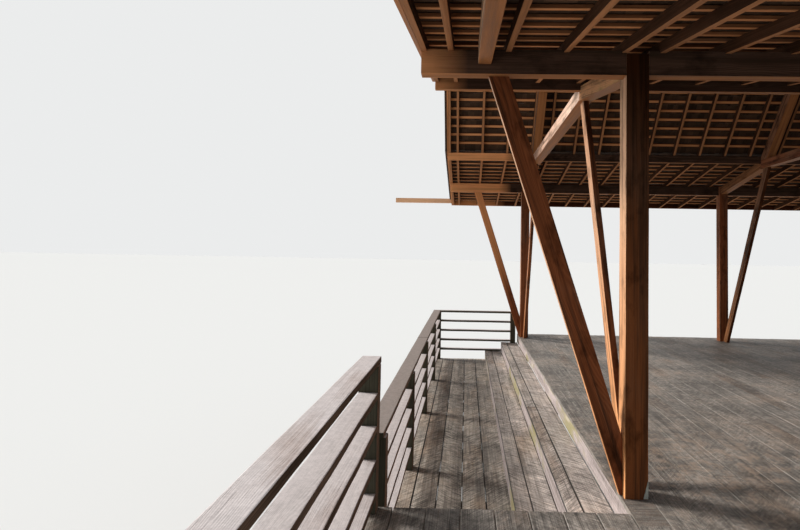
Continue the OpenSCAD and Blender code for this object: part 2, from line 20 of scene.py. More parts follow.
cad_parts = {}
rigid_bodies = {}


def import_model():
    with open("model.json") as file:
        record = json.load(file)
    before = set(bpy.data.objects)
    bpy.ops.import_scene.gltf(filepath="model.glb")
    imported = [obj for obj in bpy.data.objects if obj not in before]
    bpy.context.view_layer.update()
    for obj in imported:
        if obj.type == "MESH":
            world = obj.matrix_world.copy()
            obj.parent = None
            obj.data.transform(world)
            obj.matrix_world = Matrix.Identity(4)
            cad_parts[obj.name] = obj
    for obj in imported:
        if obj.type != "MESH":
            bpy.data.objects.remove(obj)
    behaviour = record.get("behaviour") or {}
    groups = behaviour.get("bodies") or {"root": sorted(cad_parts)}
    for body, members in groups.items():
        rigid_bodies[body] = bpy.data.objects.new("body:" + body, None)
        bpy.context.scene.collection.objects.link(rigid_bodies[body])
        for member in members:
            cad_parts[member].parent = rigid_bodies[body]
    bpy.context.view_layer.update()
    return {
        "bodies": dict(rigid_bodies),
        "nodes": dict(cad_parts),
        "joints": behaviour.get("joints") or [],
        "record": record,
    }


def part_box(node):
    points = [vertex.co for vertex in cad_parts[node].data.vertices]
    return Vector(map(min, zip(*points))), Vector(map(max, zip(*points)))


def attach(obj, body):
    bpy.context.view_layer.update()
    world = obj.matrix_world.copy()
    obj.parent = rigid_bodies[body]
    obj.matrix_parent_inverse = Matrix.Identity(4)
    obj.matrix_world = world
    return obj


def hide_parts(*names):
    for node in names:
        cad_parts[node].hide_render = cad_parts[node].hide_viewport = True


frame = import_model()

BODY = "root"
GRAIN, TONE, SIDE, AGE = "grain", "tone", "side", "age"
LOG = logging.getLogger("hall")

Rgb = tuple[float, float, float]
Piece = bpy.types.Object
Material = bpy.types.Material


class Slot(Enum):
    """Material slots of the record."""

    STONE = "footing_stone"
    UNDER = "under_floor_timber"
    DECK = "deck_boards"
    RAIL = "railing_timber"
    FRAME = "frame_timber"
    ROOF = "roof_timber"
    SHINGLE = "shingles"


class Axis(Enum):
    """The shared frame's axes."""

    X = 0
    Y = 1
    Z = 2

    def unit(self) -> Vector:
        """Returns the axis as a unit vector."""
        return Vector([1.0 if i == self.value else 0.0 for i in range(3)])


class Bench:
    """Blender's modelling tools, used one job at a time with nothing else selected.

    Attributes:
        merge: Distance at which points become one.
        flat: Angle up to which neighbouring faces become one, in radians.
        sharp: Angle from which an arris is eased, in radians.
    """

    merge: ClassVar[float] = 0.0002
    flat: ClassVar[float] = math.radians(0.5)
    sharp: ClassVar[float] = math.radians(35)

    @staticmethod
    def hold(*pieces: Piece) -> None:
        """Selects these pieces alone, with the first one active.

        Args:
            *pieces: Pieces to select.
        """
        bpy.ops.object.select_all(action="DESELECT")
        for obj in pieces:
            obj.select_set(True)
        bpy.context.view_layer.objects.active = pieces[0]

    @staticmethod
    def named(name: str) -> Piece:
        """Names the active piece and its mesh, and returns it."""
        bpy.context.object.name = bpy.context.object.data.name = name
        return bpy.context.object

    @staticmethod
    def block(name: str, low: Vector, high: Vector) -> Piece:
        """Adds a plain block to start a piece from.

        Args:
            name: Name of the piece.
            low: Lowest corner.
            high: Highest corner.

        Returns:
            The block, with its place in its mesh.
        """
        bpy.ops.object.select_all(action="DESELECT")
        bpy.ops.mesh.primitive_cube_add(size=1, location=(low + high) / 2, scale=high - low)
        bpy.ops.object.transform_apply(location=True, rotation=True, scale=True)
        return Bench.named(name)

    @staticmethod
    def copy(node: str, name: str) -> Piece:
        """Copies a CAD node as a closed piece of its own, with whole flat faces.

        Args:
            node: Name of the CAD node.
            name: Name of the copy.

        Returns:
            The copy, with no parent and no frame marks.
        """
        Bench.hold(frame["nodes"][node])
        bpy.ops.object.duplicate(linked=False)
        bpy.ops.object.parent_clear(type="CLEAR_KEEP_TRANSFORM")
        made = Bench.named(name)
        for key in [key for key in made.keys() if key.startswith("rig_")]:
            del made[key]
        with Bench.editing(made):
            bpy.ops.mesh.remove_doubles(threshold=Bench.merge)
            bpy.ops.mesh.dissolve_limited(angle_limit=Bench.flat)
        return made

    @staticmethod
    def join(name: str, pieces: list[Piece]) -> Piece:
        """Joins pieces into one.

        Args:
            name: Name of the whole.
            pieces: Pieces to join.

        Returns:
            The whole.
        """
        Bench.hold(*pieces)
        if len(pieces) > 1:
            bpy.ops.object.join()
        return Bench.named(name)

    @staticmethod
    @contextmanager
    def editing(obj: Piece) -> Iterator[None]:
        """Opens a mesh for editing, all selected, and closes it again.

        Args:
            obj: Piece to edit.

        Yields:
            Nothing, while the mesh is open.
        """
        Bench.hold(obj)
        bpy.ops.object.mode_set(mode="EDIT")
        bpy.ops.mesh.select_all(action="SELECT")
        yield
        bpy.ops.object.mode_set(mode="OBJECT")

    @staticmethod
    def modify(obj: Piece, kind: str, **settings: object) -> None:
        """Adds a modifier and applies it.

        Args:
            obj: Piece to modify.
            kind: Type name of the modifier.
            **settings: Properties of the modifier.
        """
        Bench.hold(obj)
        modifier = obj.modifiers.new(kind.lower(), kind)
        for key, value in settings.items():
            setattr(modifier, key, value)
        bpy.ops.object.modifier_apply(modifier=modifier.name)

    @staticmethod
    def slice(obj: Piece, axis: Axis, places: np.ndarray) -> None:
        """Cuts a mesh across an axis, and keeps both sides.

        Args:
            obj: Piece to cut.
            axis: Axis that the cuts stand across.
            places: Place of each cut along it.
        """
        with Bench.editing(obj):
            for place in places:
                bpy.ops.mesh.select_all(action="SELECT")
                bpy.ops.mesh.bisect(plane_co=axis.unit() * float(place), plane_no=axis.unit())

    @staticmethod
    def ease(obj: Piece, width: float, segments: int = 1) -> None:
        """Takes the sharp arrises off a mesh."""
        Bench.modify(obj, "BEVEL", width=width, segments=segments, limit_method="ANGLE",
                     angle_limit=Bench.sharp, use_clamp_overlap=True)


class Cloud:
    """The vertices of a mesh as an array that can be read, moved and put back."""

    def __init__(self, obj: Piece) -> None:
        """Reads a mesh.

        Args:
            obj: Piece whose mesh is read.
        """
        self.mesh = obj.data
        flat = np.empty(len(self.mesh.vertices) * 3)
        self.mesh.vertices.foreach_get("co", flat)
        self.points = flat.reshape(-1, 3)

    def put(self) -> None:
        """Writes the points back into the mesh."""
        self.mesh.vertices.foreach_set("co", self.points.ravel())
        self.mesh.update()

    def box(self) -> tuple[np.ndarray, np.ndarray]:
        """Returns the lowest and the highest corner."""
        return self.points.min(0), self.points.max(0)

    def edges(self) -> np.ndarray:
        """Reads the edges.

        Returns:
            The two point numbers of each edge.
        """
        flat = np.empty(len(self.mesh.edges) * 2, dtype=np.int64)
        self.mesh.edges.foreach_get("vertices", flat)
        return flat.reshape(-1, 2)

    def ends(self) -> np.ndarray:
        """Returns each edge as the way from its first point to its second."""
        edges = self.edges()
        return self.points[edges[:, 1]] - self.points[edges[:, 0]]

    def solids(self) -> np.ndarray:
        """Tells the solids of the mesh apart.

        Returns:
            The number of the solid that each point belongs to.
        """
        edges = self.edges()
        label = np.arange(len(self.points))
        while True:
            least = np.minimum(label[edges[:, 0]], label[edges[:, 1]])
            fresh = label.copy()
            np.minimum.at(fresh, edges[:, 0], least)
            np.minimum.at(fresh, edges[:, 1], least)
            fresh = fresh[fresh]
            if (fresh == label).all():
                return np.unique(label, return_inverse=True)[1]
            label = fresh

    def note(self, name: str, values: np.ndarray) -> None:
        """Keeps a number or a vector for each point, for materials to read.

        Args:
            name: Name to keep it under.
            values: Value of each point.
        """
        kind, field = ("FLOAT_VECTOR", "vector") if values.ndim == 2 else ("FLOAT", "value")
        kept = self.mesh.attributes.new(name, kind, "POINT")
        kept.data.foreach_set(field, values.ravel())


@dataclass
class GrainMarker:
    """Gives each solid its own run of grain, tone, sides and age.

    Attributes:
        seed: Seed of the random draws.
        age: Age of a plain solid, from 0, fresh, to 1, weathered through.
        old: Tells from a solid's middle whether it is an old one.
        reach: Furthest start of the grain along, across and through a solid.
        steep: Rise of a run from which it counts as upright.
    """

    seed: int
    age: float = 0.0
    old: Callable[[np.ndarray], bool] | None = None
    reach: tuple[float, float, float] = (40.0, 0.8, 0.8)
    steep: float = 0.8

    def mark(self, obj: Piece) -> None:
        """Writes the grain, tone, sides and age of each solid.

        Args:
            obj: Piece to mark.
        """
        cloud = Cloud(obj)
        solid = cloud.solids()
        ends = cloud.ends()
        of_edge = solid[cloud.edges()[:, 0]]
        rng = np.random.default_rng(self.seed)
        grain = np.zeros_like(cloud.points)
        tone, side, age = np.zeros((3, len(solid)))
        for number in range(solid.max() + 1):
            mine = solid == number
            run = self._run(ends[of_edge == number])
            across = np.cross(run, Axis.Z.unit() if abs(run[2]) < self.steep else Axis.Y.unit())
            across /= np.linalg.norm(across)
            axes = np.stack([run, across, np.cross(run, across)])
            middle = cloud.points[mine].mean(0)
            local = (cloud.points[mine] - middle) @ axes.T
            grain[mine] = local + rng.uniform(-1, 1, 3) * self.reach
            side[mine] = local[:, 1] / max(np.abs(local[:, 1]).max(), 1e-6)
            tone[mine] = rng.uniform()
            age[mine] = 1.0 if self.old and self.old(middle) else self.age
        for name, values in ((GRAIN, grain), (TONE, tone), (SIDE, side), (AGE, age)):
            cloud.note(name, values)

    @staticmethod
    def _run(ends: np.ndarray) -> np.ndarray:
        """Finds the direction in which most of a solid's edge length lies.

        Args:
            ends: Way from end to end of each edge.

        Returns:
            The direction as a unit vector.
        """
        length = np.linalg.norm(ends, axis=1)[:, None]
        unit = ends / np.maximum(length, 1e-9)
        run = np.linalg.eigh((unit * length).T @ unit)[1][:, -1]
        return run / np.linalg.norm(run)


@dataclass(frozen=True)
class Warp:
    """Small unevenness of sawn timber.

    Attributes:
        reach: Greatest shift of a point.
        wave: Length of the longest waves.
        seed: Seed of the random draws.
        layers: Length of each layer of waves, each half as high as the last, as shares of wave.
    """

    reach: float
    wave: float
    seed: int
    layers: tuple[float, ...] = (1.0, 0.43, 0.19)

    def bend(self, obj: Piece) -> None:
        """Moves the points in smooth waves, each solid in its own, and never past its box.

        Args:
            obj: Piece to bend.
        """
        cloud = Cloud(obj)
        solid = cloud.solids()
        box = cloud.box()
        rng = np.random.default_rng(self.seed)
        phase = rng.uniform(0, 2 * math.pi, (solid.max() + 1, len(self.layers), 3))
        total = cloud.points.sum(1)[:, None]
        for layer, share in enumerate(self.layers):
            angle = total * (2 * math.pi / (self.wave * share)) + phase[solid, layer]
            cloud.points += self.reach / 2 ** (layer + 1) * np.sin(angle)
        cloud.points = np.clip(cloud.points, *box)
        cloud.put()


class Signal:
    """A socket of a node tree, reckoned with like a number, a vector or a colour."""

    def __init__(self, sheet: "NodeSheet", socket: bpy.types.NodeSocket) -> None:
        """Keeps the socket and the sheet that it is on."""
        self.sheet, self.socket = sheet, socket

    def math(self, operation: str, *others: "Value") -> "Signal":
        """Works out an operation on this number and the others."""
        inputs = dict(enumerate((self, *others)))
        return self.sheet.out("ShaderNodeMath", inputs, operation=operation)

    def __add__(self, other: "Value") -> "Signal":
        """Returns the sum."""
        return self.math("ADD", other)

    def __sub__(self, other: "Value") -> "Signal":
        """Returns the difference."""
        return self.math("SUBTRACT", other)

    def __rsub__(self, other: float) -> "Signal":
        """Returns a plain number less this one."""
        inputs = {0: other, 1: self}
        return self.sheet.out("ShaderNodeMath", inputs, operation="SUBTRACT")

    def __mul__(self, other: "Value") -> "Signal":
        """Returns the product."""
        return self.math("MULTIPLY", other)

    def span(self, low: float, high: float, start: float = 0.0, end: float = 1.0) -> "Signal":
        """Maps low..high onto start..end, and holds it there outside."""
        inputs = {"Value": self, "From Min": low, "From Max": high, "To Min": start, "To Max": end}
        return self.sheet.out("ShaderNodeMapRange", inputs, clamp=True)

    def stretch(self, scale: Rgb, turn: float = 0.0) -> "Signal":
        """Scales a vector and turns it about its third axis."""
        inputs = {"Vector": self, "Scale": scale, "Rotation": (0.0, 0.0, turn)}
        return self.sheet.out("ShaderNodeMapping", inputs)

    def moved(self, shift: "Value") -> "Signal":
        """Shifts a vector."""
        return self.sheet.out("ShaderNodeVectorMath", {0: self, 1: shift}, operation="ADD")

    def noise(self, scale: float, detail: float = 3.0, rough: float = 0.55) -> "Signal":
        """Returns a noise pattern about 0.5 over a vector."""
        inputs = {"Vector": self, "Scale": scale, "Detail": detail, "Roughness": rough}
        return self.sheet.out("ShaderNodeTexNoise", inputs)

    def part(self, axis: Axis) -> "Signal":
        """Returns a vector's share along an axis."""
        return self.sheet.out("ShaderNodeSeparateXYZ", {0: self}, axis.value)


Value = float | tuple[float, ...] | Signal


class NodeSheet:
    """A node tree, laid out by short calls that each add a node."""

    def __init__(self, holder: Material | bpy.types.World) -> None:
        """Empties the tree of a new material or world.

        Args:
            holder: Material or world that the tree belongs to.
        """
        holder.use_nodes = True
        self.holder = holder
        self.tree = holder.node_tree
        self.tree.nodes.clear()

    def add(self, kind: str, inputs: dict[str | int, Value] | None = None,
            **settings: object) -> bpy.types.Node:
        """Adds a node.

        Args:
            kind: Type name of the node.
            inputs: Value or source of each input, by its name or number.
            **settings: Properties of the node.

        Returns:
            The node.
        """
        node = self.tree.nodes.new(kind)
        for key, value in settings.items():
            setattr(node, key, value)
        for key, value in (inputs or {}).items():
            if isinstance(value, Signal):
                self.tree.links.new(value.socket, node.inputs[key])
            else:
                node.inputs[key].default_value = value
        return node

    def out(self, kind: str, inputs: dict[str | int, Value] | None = None,
            output: str | int = 0, **settings: object) -> Signal:
        """Adds a node and returns one of its outputs."""
        return Signal(self, self.add(kind, inputs, **settings).outputs[output])

    def tint(self, share: Value, under: Value, over: Value, blend: str = "MIX") -> Signal:
        """Lays one colour over another.

        Args:
            share: Share of the one above.
            under: Colour below.
            over: Colour above.
            blend: Way in which they mix.

        Returns:
            The mixed colour.
        """
        under, over = ((*c, 1.0) if isinstance(c, tuple) else c for c in (under, over))
        return self.out("ShaderNodeMix", {0: share, 6: under, 7: over}, 2, data_type="RGBA",
                        blend_type=blend)

    def dim(self, colour: Value, level: Signal) -> Signal:
        """Multiplies a colour by a level."""
        grey = self.out("ShaderNodeCombineColor", {i: level for i in range(3)})
        return self.tint(1.0, colour, grey, "MULTIPLY")


class SurfaceSheet(NodeSheet):
    """The node tree of a surface, with what the mesh and the place tell it."""

    def __init__(self, name: str) -> None:
        """Starts an empty material of this name."""
        super().__init__(bpy.data.materials.new(name))

    def noted(self, name: str, output: str = "Fac") -> Signal:
        """Reads a number or a vector that was kept on the mesh."""
        return self.out("ShaderNodeAttribute", output=output, attribute_name=name)

    @cached_property
    def grain(self) -> Signal:
        """Place in the wood, with its first axis along the grain."""
        return self.noted(GRAIN, "Vector")

    @cached_property
    def tone(self) -> Signal:
        """Tone of the solid, from 0 to 1."""
        return self.noted(TONE)

    @cached_property
    def place(self) -> Signal:
        """Place in the shared frame."""
        return self.out("ShaderNodeTexCoord", output="Object")

    def facing(self, axis: Axis, normal: str = "True Normal") -> Signal:
        """Returns how far a face is turned along an axis, from -1 to 1."""
        return self.out("ShaderNodeNewGeometry", output=normal).part(axis)

    def grained(self, scale: Rgb, detail: float = 3.0, rough: float = 0.55) -> Signal:
        """Returns a noise pattern drawn out along the grain."""
        return self.grain.stretch(scale).noise(1.0, detail, rough)

    def surface(self, colour: Signal, roughness: Signal, height: Signal, depth: float,
                gloss: float) -> Material:
        """Ends the tree in a surface with colour, roughness and relief.

        Args:
            colour: Colour of the surface.
            roughness: Roughness of the surface.
            height: Height pattern from 0 to 1.
            depth: Depth of the relief.
            gloss: Level of the mirror light.

        Returns:
            The material.
        """
        bump = self.out("ShaderNodeBump", {"Height": height, "Distance": depth, "Strength": 1.0})
        shader = self.out("ShaderNodeBsdfPrincipled", {
            "Base Color": colour, "Roughness": roughness, "Normal": bump,
            "Specular IOR Level": gloss})
        self.add("ShaderNodeOutputMaterial", {"Surface": shader})
        return self.holder


@dataclass(frozen=True)
class TimberFinish:
    """Sawn hardwood, from its own colour to how far sun and rain have taken it, with light and
    shade painted on some faces.

    The numbers from stain on are strengths, if nothing else is said.

    Attributes:
        name: Name of the material.
        dark: Colour of the dark growth.
        light: Colour of the light growth.
        grey: Colour that weather turns it to.
        greying: Share of the surface turned grey.
        stain: The dark stains.
        saw: The slanted saw marks.
        moss: The moss on old solids.
        roughness: Mean roughness.
        relief: Depth of the grain.
        ring: Distance between growth rings.
        bands: Share of the rings in the colour.
        painted_sun: Colour of the painted sunlight on the faces turned to the open side.
        low_painted_sun: That colour near the floor.
        painted_sun_strength: The painted sunlight at the near corner of the hall.
        fade: Share of it away from the open end.
        upright: Colour of the painted shade on faces that stand upright, if any.
        shaded_end_face: Colour of the painted shade on those of them that face along the hall's
            depth.
        below: Colour of the painted light thrown up onto the faces turned down.
        underside_light: Share of that colour.
        gloss: Level of the mirror light.
        edge: The worn and dirty edges of boards.
        blotch: The brown blotches on greyed boards.
        joint: The dark line along the joints of boards.
        tread: The patches that feet have worn and dirtied.
        rubbed: Middle of the part where the brown wood is rubbed bare, if any.
        contrast: The lines in the grey.
        cracks: The drying cracks.
        mottle: The small pale and dark spots of lichen.
        roof_shade: The painted shade toward the roof.
        knots: The dark knots.
        aged: Colour of old solids, where it is another one.
        open_end_light: Colour of the painted light on timbers past the open end of the hall.
        moss_colour: Colour of the moss.
        stain_colour: Colour of stains and cracks.
        joint_colour: Colour of the dark line along the joints.
    """

    name: str
    dark: Rgb
    light: Rgb
    grey: Rgb
    greying: float
    stain: float = 0.4
    saw: float = 0.0
    moss: float = 0.0
    roughness: float = 0.62
    relief: float = 0.0012
    ring: float = 0.007
    bands: float = 0.16
    painted_sun: Rgb = (0.57, 0.35, 0.22)
    low_painted_sun: Rgb = (0.92, 0.43, 0.18)
    painted_sun_strength: float = 0.0
    fade: float = 0.3
    upright: Rgb | None = None
    shaded_end_face: Rgb = (0.075, 0.07, 0.05)
    below: Rgb = (0.52, 0.22, 0.085)
    underside_light: float = 0.0
    gloss: float = 0.015
    edge: float = 0.0
    blotch: float = 0.0
    joint: float = 0.0
    tread: float = 0.0
    rubbed: Rgb | None = None
    contrast: float = 1.0
    cracks: float = 0.85
    mottle: float = 0.0
    roof_shade: float = 0.0
    knots: float = 0.0
    aged: Rgb | None = None
    open_end_light: Rgb | None = None
    moss_colour: Rgb = (0.36, 0.33, 0.09)
    stain_colour: Rgb = (0.035, 0.024, 0.016)
    joint_colour: Rgb = (0.012, 0.010, 0.008)

    def material(self) -> Material:
        """Builds the material."""
        return TimberSheet(self).build()


class TimberSheet(SurfaceSheet):
    """The node tree of a timber finish: the wood's patterns and its colour so far."""

    def __init__(self, finish: TimberFinish) -> None:
        """Lays out the patterns that follow the grain.

        Args:
            finish: Finish that the tree shows.
        """
        super().__init__(finish.name)
        self.finish = finish
        self.age = self.noted(AGE)
        self.fibre = self.grained((2.2, 160.0, 160.0), 4.0, 0.6)
        self.streak = self.grained((0.8, 26.0, 26.0), 4.0, 0.6)
        self.patch = self.grained((0.9, 2.6, 2.6), 3.0, 0.6)
        self.blot = self.grained((3.0, 6.0, 6.0), 4.0, 0.65)
        self.rings = self._growth()
        self.checks = self._splits()
        self.marks = self._sawing() if finish.saw else None
        self.colour = self._wood()

    def build(self) -> Material:
        """Lays each effect that the finish has over the last and ends the tree.

        Returns:
            The finished material.
        """
        finish = self.finish
        self._weather()
        effects = (
            (finish.painted_sun_strength, self._paint_sun), (finish.saw, self._saw), (finish.stain, self._stain),
            (finish.blotch, self._blotch), (finish.moss, self._moss), (finish.cracks, self._crack),
            (finish.aged, self._dull), (finish.mottle, self._mottle), (finish.knots, self._knot),
            (finish.roof_shade, self._paint_roof_shade), (finish.tread, self._tread), (finish.edge, self._wear),
            (finish.open_end_light, self._paint_open_end_light), (finish.upright, self._paint_side_shade),
            (finish.underside_light, self._paint_underside_light))
        for strength, effect in effects:
            if strength:
                effect()
        rough = self.streak.span(0.3, 0.7, finish.roughness - 0.1, finish.roughness + 0.12)
        height = self.fibre * 0.6 + self.rings * 0.25 + self.checks * -1.2
        if self.marks:
            height += self.marks * (0.9 * finish.saw)
        return self.surface(self.colour, rough, height, finish.relief, finish.gloss)

    def _lay(self, share: Value, over: Value) -> None:
        """Lays a colour over the wood's by a share."""
        self.colour = self.tint(share, self.colour, over)

    def _shade(self, level: Signal) -> None:
        """Multiplies the wood's colour by a level."""
        self.colour = self.dim(self.colour, level)

    def _growth(self) -> Signal:
        """Draws growth rings cut lengthwise, as wavering bands.

        Returns:
            The rings, from 0 to 1.
        """
        shift = (self.grained((0.55, 3.0, 3.0), 2.0) - 0.5) * 0.22
        return self.out("ShaderNodeTexWave", {
            "Vector": self.grain.stretch((0.03, 1.0, 1.0)).moved(shift),
            "Scale": 0.314 / self.finish.ring, "Distortion": 1.2, "Detail": 2.0,
            "Detail Scale": 1.5}, 1, wave_type="RINGS", rings_direction="X")

    def _splits(self) -> Signal:
        """Draws the fine drying cracks that run with the grain.

        Returns:
            The cracks, 1 in the middle of each.
        """
        lines = (self.grained((0.55, 30.0, 30.0), 2.0, 0.4) - 0.5).math("ABSOLUTE")
        where = self.grained((1.3, 9.0, 9.0), 2.0)
        return lines.span(0.0, 0.012, 1.0, 0.0) * where.span(0.52, 0.62)

    def _sawing(self) -> Signal:
        """Draws slanted saw marks that lean one way or the other on each board.

        Returns:
            The marks, about 0.5.
        """
        bow = (self.grained((3.0, 3.0, 3.0), 1.0) - 0.5) * 0.08
        lean = [self.grain.stretch((1.0, 1.0, 1.0), turn).moved(bow) for turn in (0.85, -0.7)]
        left, right = (way.stretch((118.0, 7.0, 20.0)).noise(1.0, 3.0, 0.6) for way in lean)
        mixed = self.out("ShaderNodeMix", {0: self.tone.span(0.495, 0.505), 2: left, 3: right},
                         data_type="FLOAT")
        where = self.grained((2.0, 5.0, 5.0))
        return (mixed - 0.5) * where.span(0.34, 0.62, 0.8, 2.6) + 0.5

    def _wood(self) -> Signal:
        """Mixes the fresh wood's colour.

        Returns:
            The colour.
        """
        share = (self.rings - 0.27) * self.finish.bands + (self.fibre * 0.45 + 0.09)
        share += (self.streak - 0.5) * 0.65
        share += (self.tone - 0.5) * 0.55
        return self.tint(share.span(0.08, 0.78), self.finish.dark, self.finish.light)

    def _weather(self) -> None:
        """Greys the wood as sun and rain do."""
        finish = self.finish
        level = self.patch + (self.tone - 0.5) * 0.22 + (self.fibre - 0.5) * 0.35 + self.age * 0.5
        edge = 0.72 - 0.44 * finish.greying
        share = level.span(edge - 0.14, edge + 0.14, 0.0, min(1.0, 0.35 + finish.greying))
        dull, clear = (
            tuple(min(1.0, c * (1.0 + change * finish.contrast)) for c in finish.grey)
            for change in (-0.38, 0.22))
        self._lay(share, self.tint(self.fibre.span(0.32, 0.68), dull, clear))

    def _paint_sun(self) -> None:
        """Paints sunlight on the faces to the open side, most at the near corner."""
        finish = self.finish
        along, depth, height = (self.place.part(axis) for axis in Axis)
        share = along.span(-2.6, -0.6, 1.0, finish.fade) * self.facing(Axis.X).span(-0.5, -0.9)
        share *= depth.span(-3.0, 2.0, finish.painted_sun_strength, 0.3 * finish.painted_sun_strength)
        share *= self.streak.span(0.3, 0.62, 0.72, 1.0)
        # pale is the colour of the painted sunlight, from low_painted_sun near the floor to bleach
        # higher up.
        pale = self.tint(height.span(2.1, 3.9), finish.low_painted_sun, finish.painted_sun)
        self._lay(share, self.dim(pale, self.fibre.span(0.35, 0.65, 0.82, 1.12)))

    def _saw(self) -> None:
        """Darkens and lightens the wood along the saw marks."""
        saw = self.finish.saw
        self._shade(self.marks.span(0.3, 0.72, 1.0 - 0.62 * saw, 1.0 + 0.85 * saw))

    def _stain(self) -> None:
        """Stains the dark streaks."""
        self._lay(self.streak.span(0.5, 0.36) * self.finish.stain, self.finish.stain_colour)

    def _blotch(self) -> None:
        """Lets brown wood show in blotches."""
        share = self.blot.span(0.52, 0.68, 0.0, self.finish.blotch)
        if self.marks:
            share *= self.marks.span(0.35, 0.6)
        self._lay(share, self.finish.light)

    def _moss(self) -> None:
        """Grows moss on old solids."""
        share = self.patch.span(0.52, 0.62, 0.0, self.finish.moss)
        self._lay(share * self.age, self.finish.moss_colour)

    def _crack(self) -> None:
        """Darkens the drying cracks."""
        self._lay(self.checks * self.finish.cracks, self.finish.stain_colour)

    def _dull(self) -> None:
        """Gives old solids their own colour."""
        self._lay(self.age, self.finish.aged)

    def _mottle(self) -> None:
        """Scatters small pale and dark spots."""
        mottle = self.finish.mottle
        spots = self.grain.noise(26.0, 3.0, 0.6) + self.grain.noise(120.0, 3.0, 0.6)
        self._shade(spots.span(0.8, 1.2, 1.0 - mottle, 1.0 + mottle))

    def _knot(self) -> None:
        """Darkens the knots."""
        self._shade(self.blot.span(0.52, 0.68, 1.0, 1.0 - self.finish.knots))

    def _paint_roof_shade(self) -> None:
        """Paints shade on the wood toward the roof, but for the faces to the open side."""
        share = self.place.part(Axis.Z).span(3.0, 4.6, 0.0, self.finish.roof_shade)
        self._shade(1.0 - share * self.facing(Axis.X).span(-0.9, -0.5))

    def _tread(self) -> None:
        """Lays broad patches across the boards, some rubbed brown, some dirty."""
        tread, rubbed = self.finish.tread, self.finish.rubbed
        broad, spots = self.place.noise(1.7, 5.0, 0.62), self.place.noise(9.0, 4.0, 0.65)
        level = broad * 0.65 + spots * 0.35
        self._shade(level.span(0.36, 0.64, 1.0 - 0.5 * tread, 1.0 + 0.45 * tread))
        brown = broad.span(0.5, 0.64) * spots.span(0.42, 0.6, 0.1, 0.45)
        if rubbed:
            away = self.out("ShaderNodeVectorMath", {0: self.place, 1: rubbed}, "Value",
                            operation="DISTANCE")
            strokes = spots + (self.place.noise(60.0, 4.0, 0.7) - 0.5) * 0.9
            bare = away.span(0.3, 1.7, 0.7, 0.0) * strokes.span(0.47, 0.64)
            brown = brown.math("MAXIMUM", bare)
        self._lay(brown * tread, self.finish.light)

    def _wear(self) -> None:
        """Wears the edges of boards pale in places, and dirties them in others."""
        finish = self.finish
        near = self.noted(SIDE).math("ABSOLUTE")
        rim = near + (self.grained((1.4, 4.0, 4.0)) - 0.5) * 0.35
        pale = rim.span(0.93, 0.98) * self.patch.span(0.44, 0.58, 0.25, 1.0)
        dirty = near.span(0.86, 0.99) * self.patch.span(0.52, 0.40)
        self._lay(pale * finish.edge, tuple(1.9 * c for c in finish.grey))
        self._lay(dirty * (0.75 * finish.edge), finish.stain_colour)
        self._lay(near.span(0.925, 0.95, 0.0, finish.joint), finish.joint_colour)

    def _paint_open_end_light(self) -> None:
        """Paints light on the timbers past the open end, further in at the far side."""
        along, depth = self.place.part(Axis.X), self.place.part(Axis.Y)
        past = depth.span(-1.0, 2.0, -4.40, -3.55) - along
        share = past.span(-0.12, 0.12) * self.facing(Axis.X).span(-0.9, -0.5)
        bright = self.dim(self.finish.open_end_light, self.streak.span(0.3, 0.7, 0.7, 1.15))
        self._lay(share * depth.span(-2.5, 1.0, 0.55, 0.95), bright)

    def _paint_side_shade(self) -> None:
        """Paints shade on faces that are not turned up, darkest on those along the hall's depth,
        speckled.
        """
        finish = self.finish
        across = self.facing(Axis.Y).math("ABSOLUTE").span(0.5, 0.9)
        side = self.tint(across, finish.upright, finish.shaded_end_face)
        level = (self.fibre * 0.8 + self.patch * 0.9).span(0.6, 1.1, 0.45, 1.7)
        self._lay(self.facing(Axis.Z).span(0.9, 0.5), self.dim(side, level))

    def _paint_underside_light(self) -> None:
        """Paints light thrown up onto the faces turned down."""
        # fresh is the colour of the painted light on the faces turned down.
        fresh = self.dim(self.finish.below, self.streak.span(0.3, 0.7, 0.65, 1.2))
        self._lay(self.facing(Axis.Z).span(-0.4, -0.62, 0.0, self.finish.underside_light), fresh)


@dataclass(frozen=True)
class ShingleFinish:
    """Split hardwood shingles, brown inside and greyed by rain outside, with painted shade on the
    inside.

    Attributes:
        name: Name of the material.
        inner_and_shade: Colour of the faces turned down, brown wood darkened as painted shade.
        outer: Colour of the faces turned up.
        dirt: Colour of the dirt in blots.
    """

    name: str = "shingle_wood"
    # inner is brown wood darkened as painted shade.
    inner_and_shade: Rgb = (0.068, 0.036, 0.020)
    outer: Rgb = (0.145, 0.122, 0.102)
    dirt: Rgb = (0.03, 0.026, 0.02)

    def material(self) -> Material:
        """Builds the material.

        Returns:
            The finished material.
        """
        sheet = SurfaceSheet(self.name)
        fibre = sheet.grained((5.0, 210.0, 210.0), 4.0, 0.65)
        split = sheet.grained((2.5, 45.0, 45.0))
        blot = sheet.grained((7.0, 7.0, 7.0))
        outside = sheet.facing(Axis.Z, "Normal").span(-0.05, 0.15)
        level = sheet.tone * 0.75 + fibre * 0.5 + (split - 0.5) * 0.6
        colour = sheet.dim(sheet.tint(outside, self.inner_and_shade, self.outer),
                           level.span(0.1, 1.2, 0.45, 1.65))
        colour = sheet.tint(blot.span(0.52, 0.72) * 0.5, colour, self.dirt)
        rough, height = fibre.span(0.3, 0.7, 0.7, 0.9), fibre * 0.7 + split * 0.6
        return sheet.surface(colour, rough, height, 0.002, 0.2)


